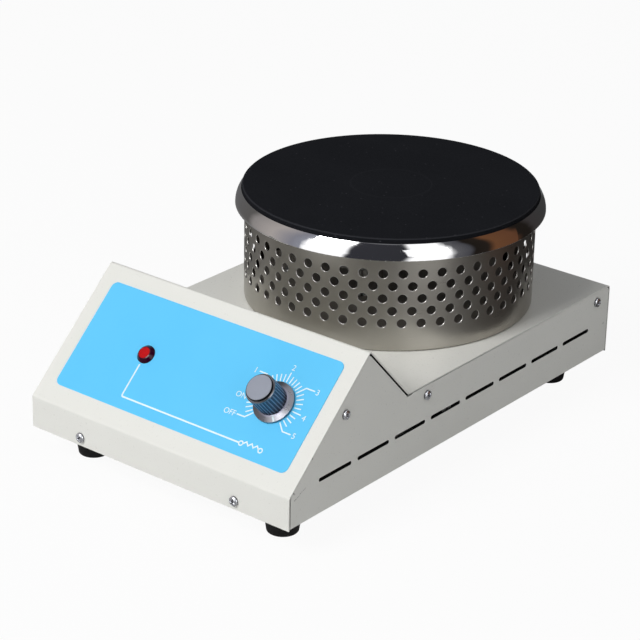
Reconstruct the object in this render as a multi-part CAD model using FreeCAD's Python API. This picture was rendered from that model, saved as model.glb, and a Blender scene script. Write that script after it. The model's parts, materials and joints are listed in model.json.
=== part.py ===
"""Laboratory hot plate: folded steel housing, perforated drum and cast heating plate.

Frame: +X to the right seen from the control panel, +Y to the rear, +Z up.
The origin lies on the bench, in the middle between the four feet. Millimetres.
"""
import FreeCAD, Part
import math
import os

V = FreeCAD.Vector
UP = V(0, 0, 1)

# Cooking plate; the housing takes its width and depth from it
plate_radius = 90.0
plate_overhang = 1.5
plate_side_margin = 2.85
drum_margin_front = 18.0
drum_margin_rear = 13.1

# Housing, measured from the lower edge of the sheet metal and from the front face
lip_height = 19.7
ridge_back = 68.1
ridge_height = 83.3
valley_back = 104.1
deck_height = 45.0
cover_sheet = 0.8
tray_sheet = 1.2
lip_fold_radius = 2.2
ridge_fold_radius = 1.6
valley_fold_radius = 1.2
rear_fold_radius = 2.4
tray_fold_radius = 1.6
tray_flange_height = 13.0

# Seams between the cover and the side walls of the tray
lip_seam = 0.8
slope_seam = 0.1
back_slope_seam = 1.1
deck_seam_front = 0.45
deck_seam_rear = 0.1
rear_seam = 0.3
flange_seam = 0.1
relief_length = 4.0

# Vent slots in the side walls
slot_count = 8
slot_length = 28.3
slot_width = 2.4
slot_row_front = 25.1
slot_row_rear = 22.2
slot_row_height = 21.3

# Feet
foot_height = 18.0
foot_top_radius = 11.7
foot_bottom_radius = 9.1
foot_edge_radius = 1.2
foot_inset_side = 24.8
foot_inset_end = 25.0
foot_recess_radius = 4.6
foot_recess_depth = 10.0

# Screws: shank, head, nut and washer sizes, thread beyond the nut, and the dome's shares of the head
m3_shank = 1.5
m3_head_radius = 2.75
m3_head_height = 2.0
m4_shank = 2.0
m4_head_radius = 3.8
m4_head_height = 2.6
m6_shank = 3.0
screw_tail = 1.0
pan_crown_radius = 0.55
pan_shoulder_height = 0.45
pan_bulge_radius = 0.86
pan_bulge_height = 0.84
hole_play = 0.2
thread_play = 0.03
m3_nut_flats = 5.5
m3_nut_height = 2.4
m4_nut_flats = 7.0
m4_nut_height = 3.2
m6_nut_flats = 10.0
m6_nut_height = 5.0
m6_washer_radius = 6.2
m6_washer_thickness = 1.2

# Screws in the lip, the rear wall and the sides
lip_screw_inset = 38.7
lip_screw_height = 5.3
cover_screw_length = 7.0
console_screw_back = 47.3
console_screw_drop = 8.2
deck_screw_inset = 17.8
rear_screw_inset = 14.3
deck_screw_drop = 7.4
bracket_length = 16.0
bracket_leg = 13.0
bracket_sheet = 1.2
bracket_fold_radius = 1.6

# Control panel: overlay, lamp and dial, measured from the sides and up the slope from the lip fold
overlay_side = 10.2
overlay_low = 11.8
overlay_height = 70.2
overlay_corner = 4.0
overlay_sheet = 0.4
lamp_inset = 59.0
dial_inset = 39.2

# Indicator lamp
lens_base_radius = 5.7
lens_top_radius = 3.6
lens_height = 2.6
lens_rim_height = 0.6
lens_edge_width = 0.5
lens_edge_drop = 0.2
lamp_body_radius = 4.0
lamp_body_length = 19.0
lamp_tag_offset = 2.0
lamp_nut_flats = 11.0
lamp_nut_height = 2.5

# Potentiometer
pot_radius = 12.0
pot_depth = 11.0
pot_wall = 1.0
bushing_radius = 4.4
bushing_height = 5.0
shaft_radius = 3.0
shaft_play = 0.05
shaft_length = 16.0
shaft_flat = 1.2
shaft_flat_margin = 1.0
pot_nut_flats = 12.0
pot_nut_height = 2.0
pot_washer_radius = 6.4
pot_washer_thickness = 0.5
track_width = 2.5
track_inset = 1.5
pot_tag_pitch = 5.0
tag_width = 2.2
tag_length = 9.0
tag_sheet = 0.6
wiper_gap = 0.1

# Knob
knob_gap = 0.5
skirt_radius = 12.5
skirt_edge_height = 1.1
skirt_height = 2.6
grip_radius = 9.0
grip_edge = 0.4
knob_height = 17.8
flute_count = 30
flute_radius = 0.7
flute_sink = 0.15
flute_low_margin = 0.3
flute_top_margin = 0.8
knob_hollow_radius = 7.6
knob_hollow_flare = 1.2
knob_hollow_height = 3.6
insert_radius = 4.6
cap_radius = 8.0
cap_proud = 1.2
cap_seat = 1.2
disc_radius = 7.7
disc_thickness = 0.3
turn_at_rest = -62.0

# Drum
drum_sheet = 0.8
drum_foot_flange = 11.0
drum_top_flange = 4.0
drum_fold_radius = 1.4
hole_rows = 5
holes_per_row = 48
hole_radius = 3.1
first_row_height = 18.0
row_pitch = 7.73
hole_phase = 5.1
drum_screw_count = 4
drum_screw_turn = 45.0
deck_opening_radius = 42.0

# Cast plate and its trim ring, measured down from the cooking face
plate_above_deck = 71.5
plate_bevel = 0.7
plate_proud = 3.0
plate_rim = 3.5
plate_spigot_play = 2.5
plate_depth = 11.5
plate_web = 5.5
groove_count = 3
groove_inner = 22.0
groove_wall = 5.0
boss_bore_depth = 7.0
ring_sheet = 0.8
ring_play = 0.3
ring_crest = 0.6
ring_flare = 4.15
ring_drop = 12.1
ring_bulge = 0.9

# Heating element
coil_radius = 2.3
coil_play = 0.05
coil_gap_angle = 15.0
coil_turn = -90.0
coil_depth = 8.3
pin_radius = 1.2
pin_length = 12.5
filling_height = 5.2
bead_radius = 3.0
bead_shoulder = 4.2
bead_length = 6.0
bead_shoulder_height = 2.4
link_width = 6.0
link_sheet = 1.0
pan_sheet = 0.8
pan_lip = 5.0
pan_inset = 0.8

# Clamp and reflector
bar_bearing = 14.0
bar_width = 20.0
bar_thickness = 2.5
stud_tail = 6.0
reflector_gap = 6.5
reflector_rise = 8.0
reflector_lip = 4.0
reflector_sheet = 0.8
stud_gap = 1.0
spacer_count = 3
spacer_turn = 90.0
spacer_inset = 20.0
spacer_radius = 3.5
lead_hole_radius = 7.0
lead_hole_offset = 26.0

# Power inlet in the rear wall
inlet_inset = 42.0
inlet_height = 23.0
inlet_flange_width = 50.0
inlet_flange_height = 23.0
inlet_flange = 1.9
inlet_body_width = 27.4
inlet_body_height = 19.8
inlet_wall = 1.6
inlet_depth = 18.0
inlet_cavity_depth = 16.4
inlet_corner = 4.5
inlet_pin_spacing = 7.0
inlet_pin_rise = 2.0
inlet_pin_width = 2.0
inlet_pin_height = 4.0
inlet_pin_length = 11.5
inlet_tab_length = 7.0
inlet_screw_spacing = 40.0

# Control board
board_width = 84.0
board_depth = 46.0
board_thickness = 1.6
board_corner = 2.0
board_inset = 63.0
board_back = 52.0
standoff_height = 8.0
standoff_radius = 3.0
board_hole_inset = 4.0
sink_inset_side = 12.0
sink_inset_rear = 3.0
sink_width = 30.0
sink_depth = 12.0
sink_height = 24.0
sink_fins = 5
fin_depth = 8.0
fin_width = 1.6
triac_width = 10.0
triac_height = 15.0
triac_thickness = 4.4
triac_lift = 5.0
triac_leg_pitch = 2.5
triac_leg_width = 1.0
triac_leg_thickness = 0.8
capacitor_gap = 8.0
capacitor_width = 18.0
capacitor_depth = 8.0
capacitor_height = 14.0
choke_inset = 25.0
choke_forward = 6.0
choke_radius = 8.0
choke_section = 3.2

# Wiring
wire_radius = 1.2
signal_radius = 0.7
wire_bend = 3.0
wire_lift = 8.0
wire_lane = 4.5
lead_lane_inset = 44.3
earth_inset = 19.0
earth_from_rear = 42.0
earth_length = 12.0
lug_radius = 4.4
lug_sheet = 0.8

# How far a cutting shape reaches past the faces it opens
overshoot = 1.0

# Places worked out from the sizes above
drum_radius = plate_radius - plate_overhang
body_width = 2 * (plate_radius + ring_flare + plate_side_margin)
body_depth = valley_back + drum_margin_front + 2 * drum_radius + drum_margin_rear
half_width = body_width / 2
front = -body_depth / 2
rear = body_depth / 2
base = foot_height
lip_top = base + lip_height
ridge_y = front + ridge_back
ridge_z = base + ridge_height
valley_y = front + valley_back
deck_top = base + deck_height
deck_under = deck_top - cover_sheet
tray_floor = base + tray_sheet
wall_inside = half_width - tray_sheet
drum_y = rear - drum_margin_rear - drum_radius
plate_spigot = drum_radius - drum_top_flange - plate_spigot_play
groove_pitch = (plate_spigot - groove_inner) / groove_count
groove_width = groove_pitch - groove_wall
reflector_radius = drum_radius - reflector_gap
reflector_top = deck_top + reflector_rise + reflector_sheet
spacer_circle = reflector_radius - spacer_inset
plate_top = deck_top + plate_above_deck
ring_seat = plate_top - plate_rim
drum_top = ring_seat - ring_sheet
plate_under = plate_top - plate_depth
groove_roof = plate_top - plate_web
coil_z = plate_top - coil_depth
pan_under = plate_under - pan_sheet
track_outer = pot_radius - pot_wall - track_inset
track_inner = track_outer - track_width
slot_pitch = (body_depth - slot_row_front - slot_row_rear - slot_length) / (slot_count - 1)
lip_screw_spread = half_width - lip_screw_inset
lamp_offset = lamp_inset - half_width
dial_offset = half_width - dial_inset
inlet_offset = half_width - inlet_inset
board_offset = board_inset - half_width
earth_offset = half_width - earth_inset
slope_angle = math.degrees(math.atan2(ridge_height - lip_height, ridge_back))
panel_line = overlay_low + overlay_height / 2
cover_outline = [(front, base), (front, lip_top), (ridge_y, ridge_z), (valley_y, deck_top),
                 (rear, deck_top), (rear, base)]
cover_folds = [lip_fold_radius, ridge_fold_radius, valley_fold_radius, rear_fold_radius]
console = FreeCAD.Placement(V(0, front, lip_top), FreeCAD.Rotation(V(1, 0, 0), slope_angle))


# General shapes

def box(x0, x1, y0, y1, z0, z1):
    """Block between two corners."""
    return Part.makeBox(x1 - x0, y1 - y0, z1 - z0, V(x0, y0, z0))


def rod(radius, z0, z1, x=0.0, y=0.0):
    """Upright cylinder."""
    return Part.makeCylinder(radius, z1 - z0, V(x, y, z0))


def tube(outer, inner, z0, z1, x=0.0, y=0.0):
    """Upright cylinder with a through hole."""
    return rod(outer, z0, z1, x, y).cut(rod(inner, z0, z1, x, y))


def drill(radius, z0, z1, x=0.0, y=0.0):
    """Upright cutting cylinder that reaches past both levels."""
    return rod(radius, z0 - overshoot, z1 + overshoot, x, y)


def hexagon(flats, bore, z0, z1, x=0.0, y=0.0):
    """Upright hexagonal nut with a plain bore."""
    corner = flats / math.sqrt(3)
    ring = [V(x + corner * math.cos(math.radians(60 * k)), y + corner * math.sin(math.radians(60 * k)), z0)
            for k in range(7)]
    block = Part.Face(Part.makePolygon(ring)).extrude(V(0, 0, z1 - z0))
    return block.cut(rod(bore, z0, z1, x, y))


def placed(shape, placement):
    """Copy of a shape moved by a placement."""
    moved = shape.copy()
    moved.Placement = placement.multiply(moved.Placement)
    return moved


def facing(x, y, z, direction):
    """Placement that turns +Z to a direction and moves the origin to a point."""
    return FreeCAD.Placement(V(x, y, z), FreeCAD.Rotation(UP, direction))


def on_panel(shape, x=0.0, s=0.0):
    """Shape modelled upright, set on the sloping panel at x across and s up the slope."""
    return placed(placed(shape, FreeCAD.Placement(V(x, s, 0), FreeCAD.Rotation())), console)


def around(shape, count, first=0.0, centre_y=0.0):
    """Copies of a shape turned about an upright axis."""
    copies = []
    for k in range(count):
        turned = shape.copy()
        turned.rotate(V(0, centre_y, 0), UP, first + 360.0 * k / count)
        copies.append(turned)
    return copies


def corner_arc(before, corner, after, radius):
    """Start, arc edge and end of the round that touches both legs of a corner."""
    leg_in = (before - corner).normalize()
    leg_out = (after - corner).normalize()
    half = leg_in.getAngle(leg_out) / 2
    reach = radius / math.tan(half)
    start = corner + leg_in * reach
    end = corner + leg_out * reach
    inward = (leg_in + leg_out).normalize()
    middle = corner + inward * (radius / math.sin(half) - radius)
    return start, Part.Arc(start, middle, end).toShape(), end


def rounded_path(points, radii):
    """Edges through the points, with a tangent arc at each inner point that has a radius."""
    edges = []
    place = points[0]
    for k in range(1, len(points) - 1):
        if radii[k - 1] > 0:
            start, arc, end = corner_arc(points[k - 1], points[k], points[k + 1], radii[k - 1])
            edges.append(Part.LineSegment(place, start).toShape())
            edges.append(arc)
            place = end
        else:
            edges.append(Part.LineSegment(place, points[k]).toShape())
            place = points[k]
    edges.append(Part.LineSegment(place, points[-1]).toShape())
    return edges


def offset_line(points, distances):
    """Open line moved to the right of its direction, by one distance for each run."""
    moved = []
    for k in range(len(points) - 1):
        (a, b), (c, d) = points[k], points[k + 1]
        run = math.hypot(c - a, d - b)
        nx, ny = (d - b) / run * distances[k], -(c - a) / run * distances[k]
        moved.append(((a + nx, b + ny), (c + nx, d + ny)))
    corners = [moved[0][0]]
    for first, second in zip(moved, moved[1:]):
        (a, b), (c, d) = first
        (e, f), (g, h) = second
        cross = (c - a) * (h - f) - (d - b) * (g - e)
        t = ((e - a) * (h - f) - (f - b) * (g - e)) / cross
        corners.append((a + t * (c - a), b + t * (d - b)))
    corners.append(moved[-1][1])
    return corners


def sheet_face(points, radii, thickness, to_space):
    """Section of a folded sheet whose outer face follows the points; it thickens to their right."""
    inner = offset_line(points, [thickness] * (len(points) - 1))
    inner_radii = []
    for k in range(1, len(points) - 1):
        (a, b), (c, d), (e, f) = points[k - 1], points[k], points[k + 1]
        turns_right = (c - a) * (f - d) - (d - b) * (e - c) < 0
        inner_radii.append(radii[k - 1] + (-thickness if turns_right else thickness))
    outer_path = [to_space(*p) for p in points]
    inner_path = [to_space(*p) for p in inner]
    edges = rounded_path(outer_path, radii) + rounded_path(inner_path, inner_radii)
    edges.append(Part.LineSegment(outer_path[0], inner_path[0]).toShape())
    edges.append(Part.LineSegment(outer_path[-1], inner_path[-1]).toShape())
    return Part.Face(Part.Wire(Part.__sortEdges__(edges)))


def revolved(points, centre_y=0.0):
    """Solid of revolution about an upright axis, from a closed outline of (radius, height)."""
    outline = [V(r, centre_y, z) for r, z in points]
    face = Part.Face(Part.makePolygon(outline + outline[:1]))
    return face.revolve(V(0, centre_y, 0), UP, 360)


def rounded_plate(width, height, corner, thickness):
    """Flat plate in the XY plane with round corners, centred, rising from z = 0."""
    w, h = width / 2, height / 2
    loop = [V(0, -h, 0), V(w, -h, 0), V(w, h, 0), V(-w, h, 0), V(-w, -h, 0), V(0, -h, 0)]
    face = Part.Face(Part.Wire(rounded_path(loop, [corner] * 4)))
    return face.extrude(V(0, 0, thickness))


def slot_hole(length, width, through):
    """Round-ended slot along Y, cut along X over the given half reach."""
    straight = length / 2 - width / 2
    middle = box(-through, through, -straight, straight, -width / 2, width / 2)
    ends = [Part.makeCylinder(width / 2, 2 * through, V(-through, y, 0), V(1, 0, 0))
            for y in (-straight, straight)]
    return middle.fuse(ends)


def pan_screw(shank, head_radius, head_height, length):
    """Pan head screw: head above z = 0, shank below."""
    crown = V(head_radius * pan_crown_radius, 0, head_height)
    shoulder = V(head_radius, 0, head_height * pan_shoulder_height)
    bulge = V(head_radius * pan_bulge_radius, 0, head_height * pan_bulge_height)
    corners = [V(0, 0, head_height), V(0, 0, -length), V(shank, 0, -length), V(shank, 0, 0),
               V(head_radius, 0, 0), shoulder]
    edges = list(Part.makePolygon(corners).Edges)
    edges.append(Part.Arc(shoulder, bulge, crown).toShape())
    edges.append(Part.LineSegment(crown, corners[0]).toShape())
    return Part.Face(Part.Wire(edges)).revolve(V(0, 0, 0), UP, 360)


def wire_run(points, radius, bend):
    """Round wire along straight runs joined by tangent arcs."""
    path = Part.Wire(rounded_path(points, [bend] * (len(points) - 2)))
    ring = Part.Wire(Part.Circle(points[0], points[1] - points[0], radius).toShape())
    return path.makePipeShell([ring], True, False)


# Housing

def make_cover():
    """Folded cover: lip, sloping panel, back slope, deck and rear wall in one sheet."""
    face = sheet_face(cover_outline, cover_folds, cover_sheet, lambda y, z: V(-half_width, y, z))
    cover = face.extrude(V(body_width, 0, 0))
    cuts = [on_panel(drill(lamp_body_radius + hole_play, -cover_sheet, 0), lamp_offset, panel_line),
            on_panel(drill(bushing_radius + hole_play, -cover_sheet, 0), dial_offset, panel_line),
            drill(deck_opening_radius, deck_under, deck_top, 0, drum_y)]
    for x in (-lip_screw_spread, lip_screw_spread):
        for y in (front, rear):
            cuts.append(Part.makeCylinder(m3_shank + hole_play, 4 * cover_sheet,
                                          V(x, y - 2 * cover_sheet, base + lip_screw_height), V(0, 1, 0)))
    cuts += drum_screw_set(drill(m3_shank + hole_play, deck_under, deck_top))
    cuts += spacer_set(drill(m3_shank + hole_play, deck_under, deck_top))
    cuts.append(placed(inlet_section(hole_play, -2 * cover_sheet, cover_sheet), inlet_place()))
    for x in inlet_screw_places():
        cuts.append(placed(drill(m3_shank + hole_play, -cover_sheet, 0, x), inlet_place()))
    return cover.cut(cuts)


def wall_outline():
    """Outline of a side wall, kept clear of the cover by each seam."""
    gaps = [lip_seam, slope_seam, back_slope_seam, deck_seam_front, rear_seam]
    line = offset_line(cover_outline, [cover_sheet + gap for gap in gaps])
    line[4] = (line[4][0], deck_under - deck_seam_rear)
    return line


def make_tray():
    """Base tray: floor, two slotted side walls and low front and rear flanges in one sheet."""
    outline = wall_outline()
    first_y = outline[0][0]
    shell_points = [(half_width, ridge_z), (half_width, base), (-half_width, base), (-half_width, ridge_z)]
    shell_face = sheet_face(shell_points, [tray_fold_radius] * 2, tray_sheet, lambda x, z: V(x, first_y, z))
    shell = shell_face.extrude(V(0, outline[-1][0] - first_y, 0))
    ring = [V(-half_width, y, z) for y, z in outline]
    edges = rounded_path(ring, [lip_fold_radius, ridge_fold_radius, 0, rear_fold_radius])
    edges.append(Part.LineSegment(ring[-1], ring[0]).toShape())
    profile = Part.Face(Part.Wire(edges)).extrude(V(body_width, 0, 0))
    walls = shell.common(profile)
    flange_in = cover_sheet + flange_seam
    floor_points = [(rear - flange_in, base + tray_flange_height), (rear - flange_in, base),
                    (front + flange_in, base), (front + flange_in, base + tray_flange_height)]
    floor_half = wall_inside - tray_fold_radius
    floor_face = sheet_face(floor_points, [tray_fold_radius] * 2, tray_sheet, lambda y, z: V(-floor_half, y, z))
    tray = walls.fuse(floor_face.extrude(V(2 * floor_half, 0, 0))).removeSplitter()
    relief_low = deck_under - back_slope_seam
    cuts = [box(-half_width, half_width, outline[3][0], valley_y + relief_length, relief_low, ridge_z)]
    slot = slot_hole(slot_length, slot_width, half_width + overshoot)
    for k in range(slot_count):
        middle = front + slot_row_front + slot_length / 2 + k * slot_pitch
        cuts.append(slot.translated(V(0, middle, base + slot_row_height)))
    for y, z, angle in side_screw_places():
        cuts.append(Part.makeCylinder(m3_shank + hole_play, body_width + 2 * overshoot,
                                      V(-half_width - overshoot, y, z), V(1, 0, 0)))
    for x in (-lip_screw_spread, lip_screw_spread):
        cuts.append(Part.makeCylinder(m3_shank + thread_play, body_depth, V(x, front, base + lip_screw_height),
                                      V(0, 1, 0)))
    for x, y in foot_places():
        cuts.append(drill(m4_shank + hole_play, base, tray_floor, x, y))
    for x, y in board_hole_places():
        cuts.append(drill(m3_shank + thread_play, base, tray_floor, x, y))
    cuts.append(drill(m4_shank + thread_play, base, tray_floor, earth_offset, rear - earth_from_rear))
    return tray.cut(cuts)


def side_screw_places():
    """Depth, height and tilt of the three screws in each side wall."""
    tilt = math.radians(slope_angle)
    slope_z = lip_top + console_screw_back * math.tan(tilt)
    return [(front + console_screw_back, slope_z - console_screw_drop / math.cos(tilt), slope_angle),
            (valley_y + deck_screw_inset, deck_top - deck_screw_drop, 0.0),
            (rear - rear_screw_inset, deck_top - deck_screw_drop, 0.0)]


def make_bracket():
    """Angle bracket under the right edge of a sheet: top leg along -X, screw leg downwards."""
    points = [(-bracket_leg, 0.0), (0.0, 0.0), (0.0, -bracket_leg)]
    face = sheet_face(points, [bracket_fold_radius], bracket_sheet, lambda x, z: V(x, -bracket_length / 2, z))
    return face.extrude(V(0, bracket_length, 0))


def make_brackets():
    """Six welded angle brackets that take the side screws."""
    brackets = []
    for y, z, tilt in side_screw_places():
        drop = console_screw_drop if tilt else deck_screw_drop
        hole = Part.makeCylinder(m3_shank + thread_play, 3 * bracket_sheet,
                                 V(-2 * bracket_sheet, 0, cover_sheet - drop), V(1, 0, 0))
        bracket = make_bracket().cut(hole)
        turn = FreeCAD.Rotation(V(1, 0, 0), tilt)
        foot = V(0, y, z) + turn.multVec(V(0, 0, drop - cover_sheet))
        for side in (1, -1):
            piece = bracket if side > 0 else bracket.mirror(V(0, 0, 0), V(1, 0, 0))
            seat = FreeCAD.Placement(V(side * (wall_inside - flange_seam), foot.y, foot.z), turn)
            brackets.append(placed(piece, seat))
    return Part.makeCompound(brackets)


def make_cover_screws():
    """Ten pan head screws in the sides, the lip and the rear wall."""
    screw = pan_screw(m3_shank, m3_head_radius, m3_head_height, cover_screw_length)
    screws = []
    for side in (1, -1):
        for y, z, tilt in side_screw_places():
            screws.append(placed(screw, facing(side * half_width, y, z, V(side, 0, 0))))
        for y, outward in ((front, -1), (rear, 1)):
            seat = facing(side * lip_screw_spread, y, base + lip_screw_height, V(0, outward, 0))
            screws.append(placed(screw, seat))
    return Part.makeCompound(screws)


# Feet

def foot_places():
    """Centres of the four feet."""
    x = half_width - foot_inset_side
    y = body_depth / 2 - foot_inset_end
    return [(-x, -y), (x, -y), (-x, y), (x, y)]


def make_foot(x, y):
    """Tapered rubber foot with a recess for its screw."""
    outline = [V(0, 0, 0), V(foot_bottom_radius, 0, 0), V(foot_top_radius, 0, foot_height),
               V(0, 0, foot_height)]
    edges = rounded_path(outline, [foot_edge_radius, 0])
    edges.append(Part.LineSegment(outline[-1], outline[0]).toShape())
    foot = Part.Face(Part.Wire(edges)).revolve(V(0, 0, 0), UP, 360)
    foot = foot.cut([rod(foot_recess_radius, 0, foot_recess_depth), rod(m4_shank + hole_play, 0, foot_height)])
    return foot.translated(V(x, y, 0))


def make_foot_screws():
    """Four screws, heads up inside the feet recesses."""
    length = foot_height - foot_recess_depth + tray_sheet + m4_nut_height + screw_tail
    screw = pan_screw(m4_shank, m4_head_radius, m4_head_height, length)
    down = V(0, 0, -1)
    return Part.makeCompound([placed(screw, facing(x, y, foot_recess_depth, down)) for x, y in foot_places()])


def make_foot_nuts():
    """Four nuts on the tray floor."""
    nut = hexagon(m4_nut_flats, m4_shank + thread_play, tray_floor, tray_floor + m4_nut_height)
    return Part.makeCompound([nut.translated(V(x, y, 0)) for x, y in foot_places()])


# Drum, plate and heating element

def drum_screw_set(shape):
    """Copies of a shape at the screws of the drum's foot flange."""
    circle = drum_radius - drum_foot_flange / 2
    moved = shape.translated(V(circle, drum_y, 0))
    return around(moved, drum_screw_count, drum_screw_turn, drum_y)


def spacer_set(shape):
    """Copies of a shape at the spacers of the reflector."""
    moved = shape.translated(V(spacer_circle, drum_y, 0))
    return around(moved, spacer_count, spacer_turn, drum_y)


def make_drum():
    """Perforated sheet drum with inward flanges at its foot and top."""
    points = [(drum_radius - drum_top_flange, drum_top), (drum_radius, drum_top), (drum_radius, deck_top),
              (drum_radius - drum_foot_flange, deck_top)]
    face = sheet_face(points, [drum_fold_radius] * 2, drum_sheet, lambda r, z: V(r, drum_y, z))
    drum = face.revolve(V(0, drum_y, 0), UP, 360)
    pitch = 360.0 / holes_per_row
    cuts = []
    for row in range(hole_rows):
        height = deck_top + first_row_height + row * row_pitch
        phase = hole_phase + (pitch / 2 if row % 2 else 0.0)
        hole = Part.makeCylinder(hole_radius, 4 * drum_sheet, V(0, drum_y - drum_radius - drum_sheet, height),
                                 V(0, 1, 0))
        cuts += around(hole, holes_per_row, phase, drum_y)
    cuts += drum_screw_set(drill(m3_shank + hole_play, deck_top, deck_top + drum_sheet))
    return drum.cut(cuts)


def make_drum_screws():
    """Screws through the drum's foot flange into the deck."""
    length = drum_sheet + cover_sheet + m3_nut_height + screw_tail
    screw = pan_screw(m3_shank, m3_head_radius, m3_head_height, length)
    return Part.makeCompound(drum_screw_set(screw.translated(V(0, 0, deck_top + drum_sheet))))


def make_deck_nuts():
    """Nuts under the deck, for the drum and the reflector."""
    nut = hexagon(m3_nut_flats, m3_shank + thread_play, deck_under - m3_nut_height, deck_under)
    return Part.makeCompound(drum_screw_set(nut) + spacer_set(nut))


def make_ring():
    """Polished trim ring: flat seat under the plate's rim, then a convex skirt over the drum."""
    low_z = plate_top - ring_drop
    crest = V(plate_radius + ring_crest, drum_y, ring_seat + plate_rim - plate_proud)
    lowest = V(plate_radius + ring_flare, drum_y, low_z)
    chord = lowest - crest
    outward = V(-chord.z, 0, chord.x).normalize()
    middle = (crest + lowest) * 0.5 + outward * ring_bulge
    inner_crest = V(plate_radius - ring_sheet / 2, drum_y, ring_seat - ring_sheet)
    inner_low = lowest - V(ring_sheet, 0, 0)
    inner_middle = middle - outward * ring_sheet
    seat_edge = plate_spigot + ring_play
    hem = V(lowest.x - ring_sheet / 2, drum_y, low_z - ring_sheet / 2)
    edges = [Part.LineSegment(V(seat_edge, drum_y, ring_seat), V(plate_radius, drum_y, ring_seat)).toShape(),
             Part.LineSegment(V(plate_radius, drum_y, ring_seat), crest).toShape(),
             Part.Arc(crest, middle, lowest).toShape(),
             Part.Arc(lowest, hem, inner_low).toShape(),
             Part.Arc(inner_low, inner_middle, inner_crest).toShape(),
             Part.LineSegment(inner_crest, V(seat_edge, drum_y, ring_seat - ring_sheet)).toShape(),
             Part.LineSegment(V(seat_edge, drum_y, ring_seat - ring_sheet),
                              V(seat_edge, drum_y, ring_seat)).toShape()]
    return Part.Face(Part.Wire(edges)).revolve(V(0, drum_y, 0), UP, 360)


def make_plate():
    """Cast plate: flat face, stepped rim and ring grooves underneath, with a tapped boss."""
    outline = [(0, plate_top), (plate_radius - plate_bevel, plate_top), (plate_radius, plate_top - plate_bevel),
               (plate_radius, ring_seat), (plate_spigot, ring_seat), (plate_spigot, plate_under)]
    for k in reversed(range(groove_count)):
        inner = groove_inner + k * groove_pitch
        outline += [(inner + groove_width, plate_under), (inner + groove_width, groove_roof),
                    (inner, groove_roof), (inner, plate_under)]
    outline += [(m6_shank, plate_under), (m6_shank, plate_under + boss_bore_depth),
                (0, plate_under + boss_bore_depth)]
    return revolved(outline, drum_y)


def coil_circle(k):
    """Radius of the middle of a groove."""
    return groove_inner + k * groove_pitch + groove_width / 2


def pin_places():
    """Start and end pin of each coil, as pairs of (x, y)."""
    pairs = []
    for k in range(groove_count):
        ends = []
        for angle in (coil_turn + coil_gap_angle / 2, coil_turn - coil_gap_angle / 2):
            turn = math.radians(angle)
            ends.append((coil_circle(k) * math.cos(turn), drum_y + coil_circle(k) * math.sin(turn)))
        pairs.append(ends)
    return pairs


def make_coils():
    """One heating coil in each groove, open at the front, with two pins down."""
    coils = []
    for k, ends in enumerate(pin_places()):
        arc = Part.makeTorus(coil_circle(k), coil_radius, V(0, 0, 0), UP, 0, 360, 360 - coil_gap_angle)
        arc.rotate(V(0, 0, 0), UP, coil_turn + coil_gap_angle / 2)
        arc.translate(V(0, drum_y, coil_z))
        pins = [rod(pin_radius, coil_z - pin_length, coil_z, x, y) for x, y in ends]
        coils.append(arc.fuse(pins))
    return Part.makeCompound(coils)


def make_filling():
    """Cast ceramic filling round each coil."""
    rings = []
    for k, ends in enumerate(pin_places()):
        inner = groove_inner + k * groove_pitch
        ring = tube(inner + groove_width, inner, groove_roof - filling_height, groove_roof, 0, drum_y)
        channel = Part.makeTorus(coil_circle(k), coil_radius + coil_play, V(0, drum_y, coil_z), UP)
        pins = [rod(pin_radius + coil_play, pan_under, coil_z, x, y) for x, y in ends]
        rings.append(ring.cut([channel] + pins))
    return Part.makeCompound(rings)


def make_pan():
    """Sheet pan that closes the grooves from below."""
    radius = plate_spigot - pan_inset
    points = [(m6_shank + hole_play, plate_under), (radius, plate_under), (radius, plate_under - pan_lip)]
    face = sheet_face(points, [pan_sheet * 2], pan_sheet, lambda r, z: V(r, drum_y, z))
    pan = face.revolve(V(0, drum_y, 0), UP, 360)
    holes = [drill(bead_radius + hole_play, pan_under, plate_under, x, y)
             for ends in pin_places() for x, y in ends]
    return pan.cut(holes)


def make_beads():
    """Ceramic beads that carry the pins through the pan."""
    outline = [(pin_radius + coil_play, plate_under), (bead_radius, plate_under), (bead_radius, pan_under),
               (bead_shoulder, pan_under), (bead_shoulder, pan_under - bead_shoulder_height),
               (bead_radius, pan_under - bead_shoulder_height), (bead_radius, plate_under - bead_length),
               (pin_radius + coil_play, plate_under - bead_length)]
    bead = revolved(outline)
    return Part.makeCompound([bead.translated(V(x, y, 0)) for ends in pin_places() for x, y in ends])


def make_links():
    """Two straps that join the coils in series under the pan."""
    top = plate_under - bead_length
    straps = []
    for side in (0, 1):
        low, high = (1, 2) if side else (0, 1)
        (x0, y0), (x1, y1) = pin_places()[low][side], pin_places()[high][side]
        span = math.hypot(x1 - x0, y1 - y0)
        strap = rounded_plate(span + link_width, link_width, link_width * 0.4, link_sheet)
        strap.translate(V(span / 2, 0, 0))
        strap = strap.cut([drill(pin_radius + coil_play, 0, link_sheet, x) for x in (0, span)])
        turn = math.degrees(math.atan2(y1 - y0, x1 - x0))
        strap = placed(strap, FreeCAD.Placement(V(x0, y0, top - link_sheet), FreeCAD.Rotation(UP, turn)))
        straps.append(strap)
    return Part.makeCompound(straps)


def clamp_levels():
    """Heights of the bar's top, the lower washer's underside and the lower nut's underside."""
    bar_under = deck_under - bar_thickness
    washer_under = bar_under - m6_washer_thickness
    return bar_under, washer_under, washer_under - m6_nut_height


def make_stud():
    """Stud from the plate's boss down to the clamp bar."""
    return rod(m6_shank, clamp_levels()[2] - stud_tail, plate_under + boss_bore_depth, 0, drum_y)


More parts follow.
